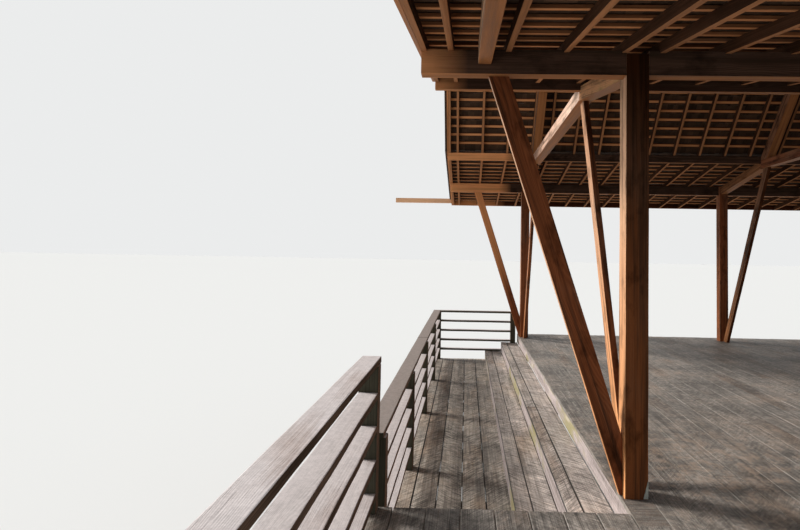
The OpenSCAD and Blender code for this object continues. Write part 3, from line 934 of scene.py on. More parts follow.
@dataclass(frozen=True)
class StoneFinish:
    """Rough pale stone or mortar with lichen and dark grit.

    Attributes:
        name: Name of the material.
        base: Colour of the stone.
        spot: Colour of the lichen.
        grit: Colour of the grit.
    """

    name: str
    base: Rgb
    spot: Rgb
    grit: Rgb = (0.09, 0.085, 0.08)

    def material(self) -> Material:
        """Builds the material.

        Returns:
            The finished material.
        """
        sheet = SurfaceSheet(self.name)
        broad = sheet.place.noise(5.0, 5.0, 0.6)
        fine = sheet.place.noise(42.0, 5.0, 0.65)
        grit = sheet.place.noise(190.0, 2.0)
        damp = tuple(0.72 * c for c in self.base)
        colour = sheet.tint(broad.span(0.35, 0.65), damp, self.base)
        colour = sheet.tint(fine.span(0.5, 0.66, 0.0, 0.6), colour, self.spot)
        colour = sheet.tint(grit.span(0.56, 0.7, 0.0, 0.5), colour, self.grit)
        rough, height = fine.span(0.3, 0.7, 0.8, 0.95), fine * 0.7 + grit * 0.3
        return sheet.surface(colour, rough, height, 0.004, 0.2)


@dataclass(frozen=True)
class Palette:
    """Every finish of the hall, by the part that wears it."""

    frame: TimberFinish = TimberFinish(
        "frame_hardwood", dark=(0.095, 0.026, 0.010), light=(0.38, 0.122, 0.048),
        grey=(0.28, 0.19, 0.13), greying=0.06, stain=0.6, moss=0.85, roughness=0.42,
        painted_sun_strength=0.9, underside_light=0.7, open_end_light=(0.74, 0.31, 0.125), roof_shade=0.35, knots=0.6,
        moss_colour=(0.21, 0.205, 0.075))
    # The near posts take a darker copy of the frame's finish, as painted shade, with more painted
    # shade toward the roof.
    post: TimberFinish = replace(
        frame, name="post_hardwood", dark=(0.054, 0.0155, 0.006), light=(0.25, 0.084, 0.030),
        grey=(0.17, 0.11, 0.075), greying=0.04, moss=0.0, open_end_light=(0.60, 0.25, 0.10), roof_shade=0.8)
    # The tie's bleach colour is a paler painted sunlight.
    tie: TimberFinish = replace(
        frame, name="tie_hardwood", painted_sun=(0.80, 0.58, 0.45), painted_sun_strength=1.3, fade=0.1)
    strut: TimberFinish = replace(frame, name="strut_hardwood", fade=1.0)
    principal: TimberFinish = replace(
        strut, name="principal_hardwood", painted_sun=(0.62, 0.32, 0.15))
    beam: TimberFinish = TimberFinish(
        "beam_hardwood", dark=(0.057, 0.031, 0.021), light=(0.178, 0.104, 0.071),
        grey=(0.15, 0.12, 0.095), greying=0.06, stain=0.5, roughness=0.5, painted_sun_strength=0.9,
        underside_light=0.7, open_end_light=(0.88, 0.39, 0.16), knots=0.5)
    # Its upright colour is painted shade, and its below colour painted light.
    roof: TimberFinish = TimberFinish(
        "roof_hardwood", dark=(0.058, 0.024, 0.012), light=(0.18, 0.08, 0.04),
        grey=(0.17, 0.12, 0.085), greying=0.12, underside_light=0.9, knots=0.4,
        upright=(0.062, 0.029, 0.016), below=(0.50, 0.225, 0.102))
    # Its below colour is painted light.
    batten: TimberFinish = TimberFinish(
        "batten_wood", dark=(0.125, 0.05, 0.023), light=(0.38, 0.165, 0.073),
        grey=(0.22, 0.15, 0.1), greying=0.1, stain=0.3, underside_light=0.85,
        below=(0.80, 0.345, 0.145))
    spout: TimberFinish = TimberFinish(
        "spout_wood", dark=(0.94, 0.46, 0.22), light=(0.98, 0.60, 0.36),
        grey=(0.6, 0.40, 0.28), greying=0.05, stain=0.05, roughness=0.6)
    under: TimberFinish = TimberFinish(
        "under_floor_hardwood", dark=(0.085, 0.045, 0.026), light=(0.24, 0.14, 0.085),
        grey=(0.25, 0.22, 0.185), greying=0.45, stain=0.6, roughness=0.75, relief=0.002)
    deck: TimberFinish = TimberFinish(
        "deck_boards", dark=(0.11, 0.08, 0.06), light=(0.34, 0.245, 0.18),
        grey=(0.252, 0.228, 0.204), greying=0.95, stain=0.45, saw=0.38, edge=0.3, blotch=0.3,
        tread=0.9, rubbed=(-2.4, -2.2, 1.9), contrast=1.5, mottle=0.34, gloss=0.3, roughness=0.6,
        relief=0.0018)
    walk: TimberFinish = TimberFinish(
        "walk_boards", dark=(0.13, 0.088, 0.062), light=(0.42, 0.31, 0.22),
        grey=(0.34, 0.302, 0.262), greying=0.85, stain=0.45, saw=0.9, edge=0.3, blotch=0.4,
        joint=0.97, tread=0.8, gloss=0.2, roughness=0.65, relief=0.0018)
    tread: TimberFinish = replace(
        walk, name="tread_boards", dark=(0.17, 0.118, 0.086), light=(0.48, 0.37, 0.29),
        grey=(0.43, 0.38, 0.345), saw=0.8, edge=0.5, blotch=0.5, joint=0.95)
    riser: TimberFinish = TimberFinish(
        "riser_boards", dark=(0.24, 0.155, 0.11), light=(0.46, 0.34, 0.27),
        grey=(0.44, 0.375, 0.36), greying=1.0, stain=0.35, saw=0.25, moss=0.9, edge=0.3,
        moss_colour=(0.30, 0.27, 0.10), roughness=0.75, relief=0.0016)
    # Its upright colour is painted shade.
    rail: TimberFinish = TimberFinish(
        "railing_boards", dark=(0.30, 0.22, 0.19), light=(0.55, 0.46, 0.42),
        grey=(0.60, 0.55, 0.545), greying=1.1, stain=0.0, moss=0.55, roughness=0.72,
        contrast=0.25, cracks=0.1, mottle=0.1, upright=(0.19, 0.125, 0.09),
        moss_colour=(0.40, 0.35, 0.31), aged=(0.29, 0.247, 0.226), relief=0.001)
    shingle: ShingleFinish = ShingleFinish()
    stone: StoneFinish = StoneFinish("footing_stone", (0.42, 0.40, 0.365), (0.52, 0.53, 0.44))
    filler: StoneFinish = StoneFinish("foot_filler", (0.46, 0.49, 0.44), (0.60, 0.62, 0.56))


Finish = TimberFinish | ShingleFinish | StoneFinish
PALETTE = Palette()
_made: dict[str, Material] = {}


def finish_piece(obj: Piece, finish: Finish, slot: Slot, *replaces: str) -> Piece:
    """Gives a piece its material, its body and the CAD nodes that it stands for.

    Args:
        obj: Finished piece.
        finish: Finish of its surfaces.
        slot: Material slot of the record.
        *replaces: CAD nodes that it stands for.

    Returns:
        The piece.
    """
    if finish.name not in _made:
        _made[finish.name] = finish.material()
    obj.data.materials.clear()
    obj.data.materials.append(_made[finish.name])
    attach(obj, BODY)
    if replaces:
        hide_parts(*replaces)
    LOG.info("%s: %d faces", obj.name, len(obj.data.polygons))
    return obj


@dataclass(kw_only=True)
class Woodwork:
    """Sawn wood with eased arrises, uneven sides and grain.

    Attributes:
        arris: Width of the eased arrises.
        flat: Width up to which one flat face eases an arris.
        run: Axis that the wood is cut across for its unevenness, if any.
        step: Distance between those cuts.
        reach: Greatest unevenness.
        wave: Length of its waves.
        age: Age of the wood.
        old: Tells from a solid's middle whether it is an old one.
    """

    arris: float = 0.004
    flat: float = 0.003
    run: Axis | None = None
    step: float = 0.3
    reach: float = 0.0015
    wave: float = 0.9
    age: float = 0.0
    old: Callable[[np.ndarray], bool] | None = None

    def work(self, obj: Piece, node: str, seed: int) -> None:
        """Eases, bends and marks a piece.

        Args:
            obj: Piece to work.
            node: CAD node that it stands for.
            seed: Seed of the random draws.
        """
        if self.run:
            first, last = (corner[self.run.value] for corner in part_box(node))
            Bench.slice(obj, self.run, np.arange(first + self.step, last, self.step))
        Bench.ease(obj, self.arris, 2 if self.arris > self.flat else 1)
        if self.run:
            Warp(self.reach, self.wave, seed).bend(obj)
        GrainMarker(seed, self.age, self.old).mark(obj)


@dataclass
class SawnTimbers(Woodwork):
    """The timbers of one CAD node.

    Attributes:
        node: CAD node that they follow.
        finish: Finish of the wood.
        slot: Material slot of the record.
    """

    node: str
    finish: TimberFinish
    slot: Slot

    def build(self) -> Piece:
        """Builds the piece.

        Returns:
            The dressed piece, which stands for its CAD node.
        """
        obj = Bench.copy(self.node, f"{self.node}_timber")
        self.work(obj, self.node, seed=sum(map(ord, self.node)))
        return finish_piece(obj, self.finish, self.slot, self.node)


@dataclass
class BoardFloor(Woodwork):
    """A floor of boards that run across the hall.

    Attributes:
        name: Name of the piece.
        node: CAD node of the floor.
        joints: Shares of the floor's width at which two boards meet.
        gap: Gap between boards.
        lengths: Shortest and longest board.
        seed: Seed of the random draws.
        finish: Finish of the boards.
        posts: CAD nodes whose posts pass through.
        clearance: Gap round the posts.
        opener: Shortest share of its length that the first board of a row keeps.
        stub: Length under which what is left of a row joins its last board.
        ragged: Furthest that a row ends short of the floor.
        sink: Furthest that a board lies low.
        butt: Gap between board ends as a share of gap.
    """

    name: str
    node: str
    joints: tuple[float, ...]
    gap: float
    lengths: tuple[float, float]
    seed: int
    finish: TimberFinish
    posts: tuple[str, ...] = ()
    clearance: float = 0.003
    opener: float = 0.45
    stub: float = 0.9
    ragged: float = 0.004
    sink: float = 0.0015
    butt: float = 0.6

    def build(self) -> Piece:
        """Builds the floor.

        Returns:
            The boards as one piece.
        """
        low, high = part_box(self.node)
        rng = np.random.default_rng(self.seed)
        edges = [low.x + share * (high.x - low.x) for share in (0.0, *self.joints, 1.0)]
        boards = [board for sides in zip(edges, edges[1:]) for board in self._row(*sides, rng)]
        obj = Bench.join(self.name, boards)
        self.work(obj, self.node, self.seed)
        if self.posts:
            self._notch(obj)
        return finish_piece(obj, self.finish, Slot.DECK, self.node)

    def _row(self, left: float, right: float, rng: np.random.Generator) -> Iterator[Piece]:
        """Lays one row of boards end to end.

        Args:
            left: Left edge of the row.
            right: Right edge of the row.
            rng: Source of the random draws.

        Yields:
            The boards of the row.
        """
        low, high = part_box(self.node)
        left, right = left + self.gap / 2, right - self.gap / 2
        start = low.y + rng.uniform(0.0, self.ragged)
        share = rng.uniform(self.opener, 1.0)
        while start < high.y - 0.01:
            end = start + share * rng.uniform(*self.lengths)
            if high.y - end < self.stub:
                end = high.y - rng.uniform(0.0, self.ragged)
            top = high.z - rng.uniform(0.0, self.sink)
            yield Bench.block(self.name, Vector((left, start, low.z)), Vector((right, end, top)))
            start, share = end + self.gap * self.butt, 1.0

    def _notch(self, obj: Piece) -> None:
        """Cuts the boards round the posts that pass through them.

        Args:
            obj: The boards.
        """
        room = Vector((self.clearance, self.clearance, 0.0))
        cutter = Bench.join("post_cutter", [
            Bench.block("post_cutter", low - room, high + room)
            for node in self.posts for low, high in self._solids(node)])
        Bench.modify(obj, "BOOLEAN", object=cutter, operation="DIFFERENCE", solver="EXACT")
        bpy.data.objects.remove(cutter)

    @staticmethod
    def _solids(node: str) -> list[tuple[Vector, Vector]]:
        """Measures each solid of a CAD node.

        Args:
            node: Name of the CAD node.

        Returns:
            Lowest and highest corner of each solid.
        """
        probe = Bench.copy(node, "probe")
        cloud = Cloud(probe)
        solid = cloud.solids()
        shapes = [cloud.points[solid == number] for number in range(solid.max() + 1)]
        bpy.data.objects.remove(probe)
        return [(Vector(shape.min(0)), Vector(shape.max(0))) for shape in shapes]


@dataclass(frozen=True)
class Slab:
    """Place and tilt of one slope's covering.

    Attributes:
        up: Direction up the slope.
        out: Direction out of the slope.
        low: Lowest corner.
        high: Highest corner.
        foot: Place of its lower end up the slope.
        head: Place of its upper end up the slope.
        under: Place of its underside out of the slope.
    """

    up: np.ndarray
    out: np.ndarray
    low: np.ndarray
    high: np.ndarray
    foot: float
    head: float
    under: float

    @classmethod
    def measure(cls, node: str) -> "Slab":
        """Measures the slab of a slope.

        Args:
            node: CAD node of the slope's covering.

        Returns:
            The slab.
        """
        probe = Bench.copy(node, "probe")
        cloud = Cloud(probe)
        ends = cloud.ends()
        bpy.data.objects.remove(probe)
        ends[np.abs(ends[:, 0]) > 1e-4] = 0.0
        up = ends[np.linalg.norm(ends, axis=1).argmax()]
        up = up / np.linalg.norm(up) * np.sign(up[2])
        out = np.cross((1.0, 0.0, 0.0), up)
        out *= np.sign(out[2])
        along = cloud.points @ up
        return cls(up, out, *cloud.box(), along.min(), along.max(), (cloud.points @ out).min())


@dataclass
class ShingleSlope:
    """Shingles laid in courses up one slope of the roof.

    Attributes:
        node: CAD node of the slope's covering.
        seed: Seed of the random draws.
        finish: Finish of the shingles.
        width: Mean width of a shingle.
        gap: Gap between two of them.
        course: Distance between courses.
        length: Length of a shingle.
        thick: Thickness of a shingle's butt.
        taper: Share of that which the head lacks.
        rest: Height at which a butt rests on the courses below, in thicknesses.
        eave: Distance of the lowest butts from the slab's end.
        last: Height of the slope that the top course may leave free.
        slip: Spread of the butts up and down a course.
        lift: Greatest lift of a butt.
        lean: Spread of the lean sideways, as a slope.
        uneven: Greatest shift of a joint sideways.
        ragged: Spread of a butt's corners up and down.
        wander: Greatest shift of a whole course sideways, in widths.
        grain_step: Distance between the grain of two shingles.
    """

    node: str
    seed: int
    finish: ShingleFinish = PALETTE.shingle
    width: float = 0.094
    gap: float = 0.0025
    course: float = 0.15
    length: float = 0.40
    thick: float = 0.0075
    taper: float = 0.45
    rest: float = 2.15
    eave: float = 0.012
    last: float = 0.06
    slip: float = 0.004
    lift: float = 0.0022
    lean: float = 0.006
    uneven: float = 0.012
    ragged: float = 0.0015
    wander: float = 0.15
    grain_step: float = 0.37

    def build(self) -> Piece:
        """Lays the courses and trims them at the verges and the ridge.

        Returns:
            The shingles as one piece.
        """
        slab = Slab.measure(self.node)
        foot = slab.foot + self.eave
        columns = math.ceil((slab.high[0] - slab.low[0]) / self.width) + 1
        courses = math.ceil((slab.head - foot - self.last) / self.course) + 1
        obj = self._shingle()
        for count, step in ((columns, (self.width, 0.0, 0.0)), (courses, (0.0, self.course, 0.0))):
            Bench.modify(obj, "ARRAY", count=count, use_relative_offset=False,
                         use_constant_offset=True, constant_offset_displace=step)
        cloud = Cloud(obj)
        local = self._unlike(cloud.points.reshape(courses, columns, -1, 3))
        self._double_foot(local)
        across, along, proud = np.moveaxis(local, -1, 0)
        np.minimum(along, slab.head - foot, out=along)
        place = np.outer(along, slab.up) + np.outer(proud, slab.out)
        place += slab.up * foot + slab.out * slab.under
        place[:, 0] = slab.low[0] + across.ravel()
        cloud.points = np.clip(place, slab.low, slab.high)
        cloud.put()
        number = np.arange(courses * columns).reshape(courses, columns, 1)
        grain = np.stack([along + number * self.grain_step, across, proud], -1)
        tone = np.random.default_rng(self.seed + 1).uniform(0, 1, number.shape)
        cloud.note(GRAIN, grain.reshape(-1, 3))
        cloud.note(TONE, np.broadcast_to(tone, across.shape).ravel())
        self._trim(obj, slab)
        return finish_piece(obj, self.finish, Slot.SHINGLE, self.node)

    def _shingle(self) -> Piece:
        """Models one shingle, tapered to its head, with its foot lifted by those below.

        Returns:
            The shingle.
        """
        side = self.gap / 2
        obj = Bench.block(f"{self.node}_shingles", Vector((side, 0.0, 0.0)),
                          Vector((self.width - side, self.length, self.thick)))
        Bench.slice(obj, Axis.Y, np.array([self.length * 0.45]))
        cloud = Cloud(obj)
        share = cloud.points[:, 1] / self.length
        cloud.points[:, 2] *= 1 - self.taper * share
        cloud.points[:, 2] += self.rest * self.thick * (1 - share)
        cloud.put()
        with Bench.editing(obj):
            bpy.ops.mesh.normals_make_consistent(inside=False)
        return obj

    def _unlike(self, local: np.ndarray) -> np.ndarray:
        """Makes each shingle a little unlike its neighbours.

        Args:
            local: Points by course, column and corner, in the slope's own axes.

        Returns:
            The moved points.
        """
        rng = np.random.default_rng(self.seed)
        courses, columns = local.shape[:2]
        each = (courses, columns, 1)
        slip = rng.normal(0, self.slip, each)
        lift = rng.uniform(0, self.lift, each)
        lean = rng.normal(0, self.lean, each)
        edge = rng.uniform(-self.uneven, self.uneven, (courses, columns + 1, 1))
        row = np.arange(courses)[:, None, None]
        stagger = row % 2 * 0.5 + rng.uniform(-self.wander, self.wander, (courses, 1, 1)) + 0.5
        share = local[..., 0] / self.width - np.arange(columns)[:, None]
        head = (local[..., 1] - row * self.course) / self.length
        moved = local.copy()
        moved[..., 0] += edge[:, :-1] * (1 - share) + edge[:, 1:] * share
        moved[..., 0] += lean * head * self.length - stagger * self.width
        moved[..., 1] += slip + rng.normal(0, self.ragged, local.shape[:3])
        moved[..., 2] += lift * (1 - head)
        return moved

    def _double_foot(self, local: np.ndarray) -> None:
        """Lays the second course over the first, which is short and flat, to close the joints.

        Args:
            local: Points by course, column and corner, in the slope's own axes.
        """
        starter = local[0]
        share = np.clip(1 - starter[..., 1] / self.length, 0.0, 1.0)
        starter[..., 2] -= self.rest * self.thick * share
        starter[..., 1] *= 0.5
        local[1:, ..., 1] -= self.course

    @staticmethod
    def _trim(obj: Piece, slab: Slab) -> None:
        """Cuts what would stand past the ridge line, and closes the cuts.

        Args:
            obj: The shingles.
            slab: Slab of their slope.
        """
        low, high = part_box("ridge_beam")
        middle = (low.y + high.y) / 2
        past = Axis.Y.unit() * (1.0 if slab.low[1] < middle - 0.5 else -1.0)
        with Bench.editing(obj):
            bpy.ops.mesh.bisect(plane_co=(0.0, middle, 0.0), plane_no=past, clear_outer=True,
                                use_fill=True)


@dataclass
class Under:
    """Everything below the floors: footings, stilts, bearers, joists and stringers.

    Attributes:
        nodes: CAD nodes of the timbers.
        arris: Width of their eased arrises.
        stone_arris: Width of the footings' worn edges.
        rough: Height of the footings' roughness.
        waves: Waves of the roughness along each axis, in radians per metre.
    """

    nodes: tuple[str, ...] = ("main_stilts", "walk_stilts", "floor_bearers", "walk_bearers",
                              "floor_joists", "walk_joists", "step_stringers")
    arris: float = 0.005
    stone_arris: float = 0.03
    rough: float = 0.004
    waves: tuple[Rgb, ...] = ((31.0, 17.0, 23.0), (19.0, 37.0, 29.0), (41.0, 13.0, 33.0))

    def build(self) -> list[Piece]:
        """Builds the pieces below the floors.

        Returns:
            The timbers' pieces and the footings.
        """
        under = (SawnTimbers(node, PALETTE.under, Slot.UNDER, arris=self.arris)
                 for node in self.nodes)
        return [*(timbers.build() for timbers in under), self._footings()]

    def _footings(self) -> Piece:
        """Builds the rough blocks of stone under the stilts.

        Returns:
            The footings as one piece.
        """
        obj = Bench.copy("footings", "footing_stones")
        Bench.ease(obj, self.stone_arris, 3)
        with Bench.editing(obj):
            bpy.ops.mesh.quads_convert_to_tris()
            bpy.ops.mesh.tris_convert_to_quads()
            bpy.ops.mesh.subdivide(number_cuts=3, smoothness=0.0)
        low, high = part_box("footings")
        cloud = Cloud(obj)
        height = cloud.points[:, 2]
        held = (height > low.z + 0.002) & (height < high.z - 0.002)
        cloud.points[held] += self.rough * np.sin(cloud.points @ np.array(self.waves))[held]
        cloud.points = np.clip(cloud.points, low, high)
        cloud.put()
        return finish_piece(obj, PALETTE.stone, Slot.STONE, "footings")


@dataclass
class Floors:
    """The boarded floors, the treads and the risers.

    Attributes:
        main_board: Mean width of the main floor's boards.
        wide_board: Mean width of the landing's boards.
        walk_joints: Joints of the walk's boards as shares of its width.
        lower_joint: Joint of the lower tread's two boards as a share of its width.
        upper_joint: Joint of the upper tread's two boards as a share of its width.
        unbroken: Length past which boards run through.
        riser_arris: Width of the risers' eased arrises.
        worn: Width of the boards' arrises, which are worn flat.
    """

    main_board: float = 0.192
    wide_board: float = 0.2055
    walk_joints: tuple[float, ...] = (0.195, 0.391, 0.596, 0.791)
    lower_joint: float = 0.42
    upper_joint: float = 0.35
    unbroken: float = 20.0
    riser_arris: float = 0.003
    worn: float = 0.004

    def build(self) -> list[Piece]:
        """Builds the floors from the top one down.

        Returns:
            The floors and the risers.
        """
        deck, walk, tread = PALETTE.deck, PALETTE.walk, PALETTE.tread
        main = self._even("main_floor", self.main_board)
        landing = self._even("landing_floor", self.wide_board)
        through, cut = (self.unbroken, self.unbroken), (2.6, 4.2)
        posts = ("near_posts", "far_posts")
        rows = (
            ("main_floor_boards", "main_floor", main, 0.003, (2.8, 4.4), 11, deck, posts),
            ("landing_boards", "landing_floor", landing, 0.005, (2.6, 2.9), 12, deck),
            ("walk_boards", "walk_floor", self.walk_joints, 0.004, through, 13, walk),
            ("lower_tread_boards", "lower_tread", (self.lower_joint,), 0.002, cut, 14, tread),
            ("upper_tread_boards", "upper_tread", (self.upper_joint,), 0.004, cut, 15, tread))
        lay = partial(BoardFloor, arris=self.worn, flat=self.worn, run=Axis.Y, step=0.45,
                      reach=0.0018, wave=1.3)
        risers = SawnTimbers("riser_boards", PALETTE.riser, Slot.DECK, arris=self.riser_arris,
                             run=Axis.Y, step=0.4, age=0.8)
        return [*(lay(*row).build() for row in rows), risers.build()]

    @staticmethod
    def _even(node: str, board: float) -> tuple[float, ...]:
        """Finds the joints of boards of about one width.

        Args:
            node: CAD node of the floor.
            board: Width of the boards.

        Returns:
            The joints as shares of the floor's width.
        """
        low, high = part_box(node)
        count = round((high.x - low.x) / board)
        return tuple(i / count for i in range(1, count))


@dataclass
class Railings:
    """The rail fences of the landing and the walk.

    Attributes:
        runs: CAD nodes of the posts and rails, each with the axis that it runs along.
        arris: Width of the eased arrises.
        step: Distance between the cuts for unevenness.
        reach: Greatest unevenness.
        joint: Place of the butt joint in the walk's handrail along the hall's depth.
        groove: Width and depth of its groove.
    """

    runs: ClassVar[dict[str, Axis]] = {
        "landing_rail_posts": Axis.Z, "landing_rails": Axis.Y, "walk_rail_posts": Axis.Z,
        "walk_rails": Axis.Y, "return_rails": Axis.X}

    arris: float = 0.005
    step: float = 0.18
    reach: float = 0.002
    joint: float = 0.76
    groove: float = 0.018

    def build(self) -> list[Piece]:
        """Builds the posts, rails and handrails.

        Returns:
            The pieces, the handrails last.
        """
        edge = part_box("landing_floor")[1].y
        timbers = partial(SawnTimbers, finish=PALETTE.rail, slot=Slot.RAIL, arris=self.arris,
                          step=self.step, reach=self.reach)
        pieces = [timbers(node, run=run).build() for node, run in self.runs.items()]
        handrails = timbers("handrails", run=Axis.Y,
                            old=lambda middle: bool(middle[1] > edge)).build()
        self._part(handrails)
        return [*pieces, handrails]

    def _part(self, handrails: Piece) -> None:
        """Opens a groove across the walk's handrail, where two boards meet end to end.

        Args:
            handrails: The handrails as one piece.
        """
        half = self.groove / 2
        edges = np.array([-1.0, -0.8, 0.8, 1.0]) * half
        Bench.slice(handrails, Axis.Y, self.joint + edges)
        cloud = Cloud(handrails)
        sunk = np.abs(cloud.points[:, 1] - self.joint) < 0.9 * half
        toward = cloud.points[sunk].mean(0) - cloud.points[sunk]
        toward[:, 1] = 0.0
        cloud.points[sunk] += toward * self.groove / np.linalg.norm(toward, axis=1)[:, None]
        cloud.put()


@dataclass
class Frame:
    """Posts, bents and long beams.

    Attributes:
        runs: CAD nodes, each with the axis that it runs along and its finish.
        step: Distance between the cuts for the posts' and beams' unevenness.
        weathered: How far from the near left corner a lower principal's middle may be, along
            and deep, for it to count as an old one.
        spout_arris: Width of the spout's eased arrises.
        post: Side of a post.
        chip: Width and height of the chip out of the first near post's foot.
        lift: Gap between the floor boards and the filler.
    """

    runs: ClassVar[dict[str, tuple[Axis, TimberFinish]]] = {
        "near_posts": (Axis.Z, PALETTE.post), "far_posts": (Axis.Z, PALETTE.frame),
        "bent_struts": (Axis.Z, PALETTE.strut), "end_struts": (Axis.Z, PALETTE.frame),
        "tie_beams": (Axis.Y, PALETTE.tie), "upper_principals": (Axis.Z, PALETTE.strut),
        "near_plate": (Axis.X, PALETTE.beam), "far_plate": (Axis.X, PALETTE.beam),
        "purlins": (Axis.X, PALETTE.beam), "ridge_beam": (Axis.X, PALETTE.beam),
        "eave_bearers": (Axis.Y, PALETTE.frame), "barge_boards": (Axis.Y, PALETTE.frame),
        "ridge_cap": (Axis.X, PALETTE.under)}

    step: float = 0.35
    weathered: tuple[float, float] = (0.3, 1.6)
    spout_arris: float = 0.002
    post: float = 0.15
    chip: tuple[float, float] = (0.031, 0.118)
    lift: float = 0.001

    def build(self) -> list[Piece]:
        """Builds the frame, with the first near principal weathered as in the photo.

        Returns:
            The pieces of the frame, the spout and the filler.
        """
        low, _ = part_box("lower_principals")
        corner = np.array(low)[:2] + self.weathered
        timbers = [SawnTimbers(node, finish, Slot.FRAME, run=run, step=self.step)
                   for node, (run, finish) in self.runs.items()]
        timbers.append(SawnTimbers("lower_principals", PALETTE.principal, Slot.FRAME, run=Axis.Y,
                                   old=lambda middle: bool((middle[:2] < corner).all())))
        timbers.append(SawnTimbers("rain_spout", PALETTE.spout, Slot.FRAME,
                                   arris=self.spout_arris, run=Axis.X))
        return [*(part.build() for part in timbers), self._filler()]

    def _filler(self) -> Piece:
        """Builds the mortar that fills the chip out of the first near post's foot.

        Returns:
            The filler, which stands for no CAD node.
        """
        low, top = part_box("near_posts")[0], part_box("main_floor")[1].z
        width, height = self.chip
        right = low.x + self.post
        obj = Bench.block("foot_filler", Vector((right - width, low.y, top + self.lift)),
                          Vector((right, low.y + width, top + height)))
        cloud = Cloud(obj)
        cloud.points[cloud.points[:, 2] > top + height / 2, 0] = right
        cloud.put()
        with Bench.editing(obj):
            bpy.ops.mesh.remove_doubles(threshold=Bench.merge)
            bpy.ops.mesh.subdivide(number_cuts=4)
            bpy.ops.mesh.normals_make_consistent(inside=False)
        Warp(0.002, 0.06, 5).bend(obj)
        return finish_piece(obj, PALETTE.filler, Slot.STONE)


@dataclass
class Roof:
    """Rafters, battens and shingles of the four slopes.

    Attributes:
        slopes: The slopes by the side and pitch in their CAD nodes' names.
        arris: Width of the rafters' and battens' eased arrises.
        seed: Seed of the first slope's random draws, and one more for each next one.
    """

    slopes: tuple[str, ...] = ("near_skirt", "far_skirt", "near_steep", "far_steep")
    arris: float = 0.002
    seed: int = 31

    def build(self) -> list[Piece]:
        """Builds the roof from the rafters out.

        Returns:
            The rafters, the battens and the coverings.
        """
        timbers = [(f"{slope}_rafters", PALETTE.roof) for slope in self.slopes]
        timbers += [(f"{side}_battens", PALETTE.batten) for side in ("near", "far")]
        pieces = [SawnTimbers(*row, Slot.ROOF, arris=self.arris).build() for row in timbers]
        return pieces + [ShingleSlope(f"{slope}_cover", seed).build()
                         for seed, slope in enumerate(self.slopes, self.seed)]


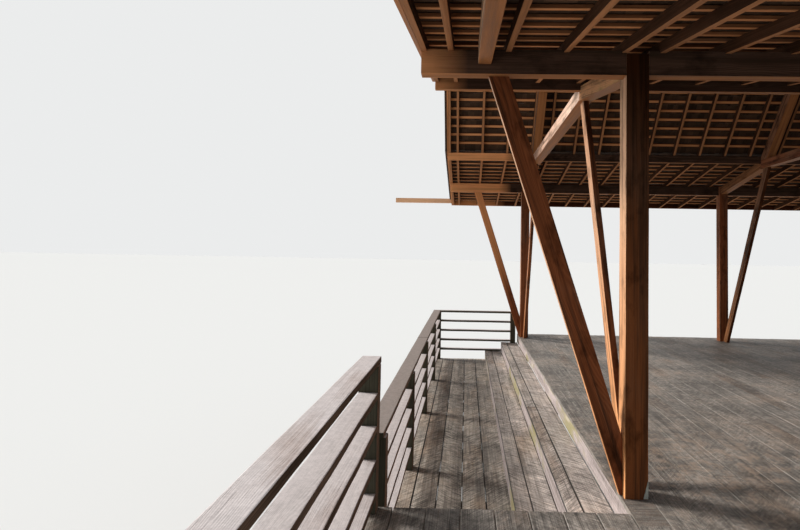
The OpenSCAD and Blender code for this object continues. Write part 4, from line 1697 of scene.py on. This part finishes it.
@dataclass(frozen=True)
class Studio:
    """Pale floor, soft light and the photograph's viewpoint.

    Attributes:
        eye: Place of the eye from the first near post's outer corner at floor level.
        yaw: Turn to the left in radians.
        pitch: Turn downwards in radians.
        roll: Lean to the left in radians.
        lens: Focal length in millimetres.
        film: Width of the picture in millimetres.
        shift: Shift of the picture as shares of its width.
        ambient: Level of the soft light away from the open side and on it.
        open_side: Direction from the hall to where the soft light is strongest.
        sky: Colour of the soft light.
        lamps: Name, direction, strength and width in degrees of each lamp.
        lamp_colour: Colour of the lamps.
        backdrop: Level of the backdrop as the eye sees it.
        backdrop_colour: Colour of the backdrop.
        pale: Colour of the floor.
        shade: Colour of the light that the floor throws back at the open side.
    """

    eye: Rgb = (-1.041, -3.5155, 1.55)
    yaw: float = 0.0227
    pitch: float = -0.0426
    roll: float = 0.0174
    lens: float = 24.02
    film: float = 36.0
    shift: tuple[float, float] = (-0.0684, -0.0421)
    ambient: tuple[float, float] = (0.17, 0.72)
    open_side: Rgb = (-0.97, 0.24, 0.0)
    sky: Rgb = (0.95, 0.98, 1.0)
    lamps: tuple[tuple[str, Rgb, float, float], ...] = (
        ("low_light", (0.87, -0.36, -0.40), 2.4, 25.0),
        ("high_light", (0.87, -0.34, -0.67), 2.2, 8.0))
    lamp_colour: Rgb = (1.0, 0.965, 0.92)
    backdrop: float = 0.84
    backdrop_colour: Rgb = (0.99, 1.0, 1.0)
    pale: Rgb = (0.765, 0.775, 0.775)
    shade: Rgb = (0.32, 0.30, 0.28)

    def build(self) -> None:
        """Builds the stage, the lights and the camera."""
        self._floor()
        self._world()
        for lamp in self.lamps:
            self._hang(*lamp)
        self._camera()

    def _floor(self) -> None:
        """Lays the pale floor under the footings."""
        bpy.ops.object.select_all(action="DESELECT")
        bpy.ops.mesh.primitive_plane_add(size=600.0, location=(0.0, 0.0, 0.0))
        floor = bpy.context.object
        floor.name = "studio_floor"
        sheet = SurfaceSheet("studio_floor")
        bounced = sheet.out("ShaderNodeLightPath", output="Is Diffuse Ray")
        share = bounced * sheet.place.part(Axis.X).span(-9.0, -4.0)
        shader = sheet.out("ShaderNodeBsdfDiffuse",
                           {"Color": sheet.tint(share, self.pale, self.shade)})
        sheet.add("ShaderNodeOutputMaterial", {"Surface": shader})
        floor.data.materials.append(sheet.holder)

    def _world(self) -> None:
        """Lights everything, most from the open side, and shows the eye a pale backdrop."""
        sheet = NodeSheet(bpy.data.worlds.new("studio"))
        bpy.context.scene.world = sheet.holder
        eye, mirror = (sheet.out("ShaderNodeLightPath", output=f"Is {kind} Ray")
                       for kind in ("Camera", "Glossy"))
        way = sheet.out("ShaderNodeTexCoord", output="Generated")
        toward = sheet.out("ShaderNodeVectorMath", {0: way, 1: self.open_side}, "Value",
                           operation="DOT_PRODUCT")
        soft = sheet.out("ShaderNodeBackground", {
            "Color": (*self.sky, 1.0), "Strength": toward.span(-1.0, 1.0, *self.ambient)})
        shown = sheet.out("ShaderNodeBackground", {
            "Color": (*self.backdrop_colour, 1.0), "Strength": self.backdrop})
        mix = sheet.out("ShaderNodeMixShader", {0: eye.math("MAXIMUM", mirror), 1: soft, 2: shown})
        sheet.add("ShaderNodeOutputWorld", {"Surface": mix})

    def _hang(self, name: str, ray: Rgb, energy: float, width: float) -> None:
        """Hangs a broad soft lamp far behind the left.

        Args:
            name: Name of the lamp.
            ray: Direction in which its light runs.
            energy: Strength of the lamp.
            width: Angle that the lamp fills in degrees.
        """
        bpy.ops.object.light_add(type="SUN", location=(-12.0, -5.0, 8.0))
        lamp = bpy.context.object
        lamp.name = name
        lamp.data.energy = energy
        lamp.data.angle = math.radians(width)
        lamp.data.color = self.lamp_colour
        lamp.rotation_euler = Vector(ray).to_track_quat("-Z", "Y").to_euler()

    def _camera(self) -> None:
        """Stands the camera where the photograph was taken from."""
        corner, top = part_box("near_posts")[0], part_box("main_floor")[1]
        place = Vector((corner.x, corner.y, top.z)) + Vector(self.eye)
        bpy.ops.object.camera_add(location=place)
        camera = bpy.context.object
        camera.name = "viewpoint"
        camera.data.sensor_width = self.film
        camera.data.lens = self.lens
        camera.data.shift_x, camera.data.shift_y = self.shift
        camera.data.clip_end = 500.0
        yaw, pitch, roll = (
            Matrix.Rotation(angle, 3, axis)
            for angle, axis in ((self.yaw, "Z"), (math.pi / 2 - self.pitch, "X"), (self.roll, "Z")))
        camera.rotation_euler = (yaw @ pitch @ roll).to_euler()
        bpy.context.scene.camera = camera


def main() -> None:
    """Builds the hall piece by piece, then the stage."""
    logging.basicConfig(level=logging.INFO, format="%(name)s %(message)s")
    bpy.context.scene.view_settings.view_transform = "Standard"
    for part in (Under(), Floors(), Railings(), Frame(), Roof()):
        pieces = part.build()
        LOG.info("%s: %d pieces", type(part).__name__, len(pieces))
    Studio().build()
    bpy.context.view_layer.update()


if __name__ == "__main__":
    main()
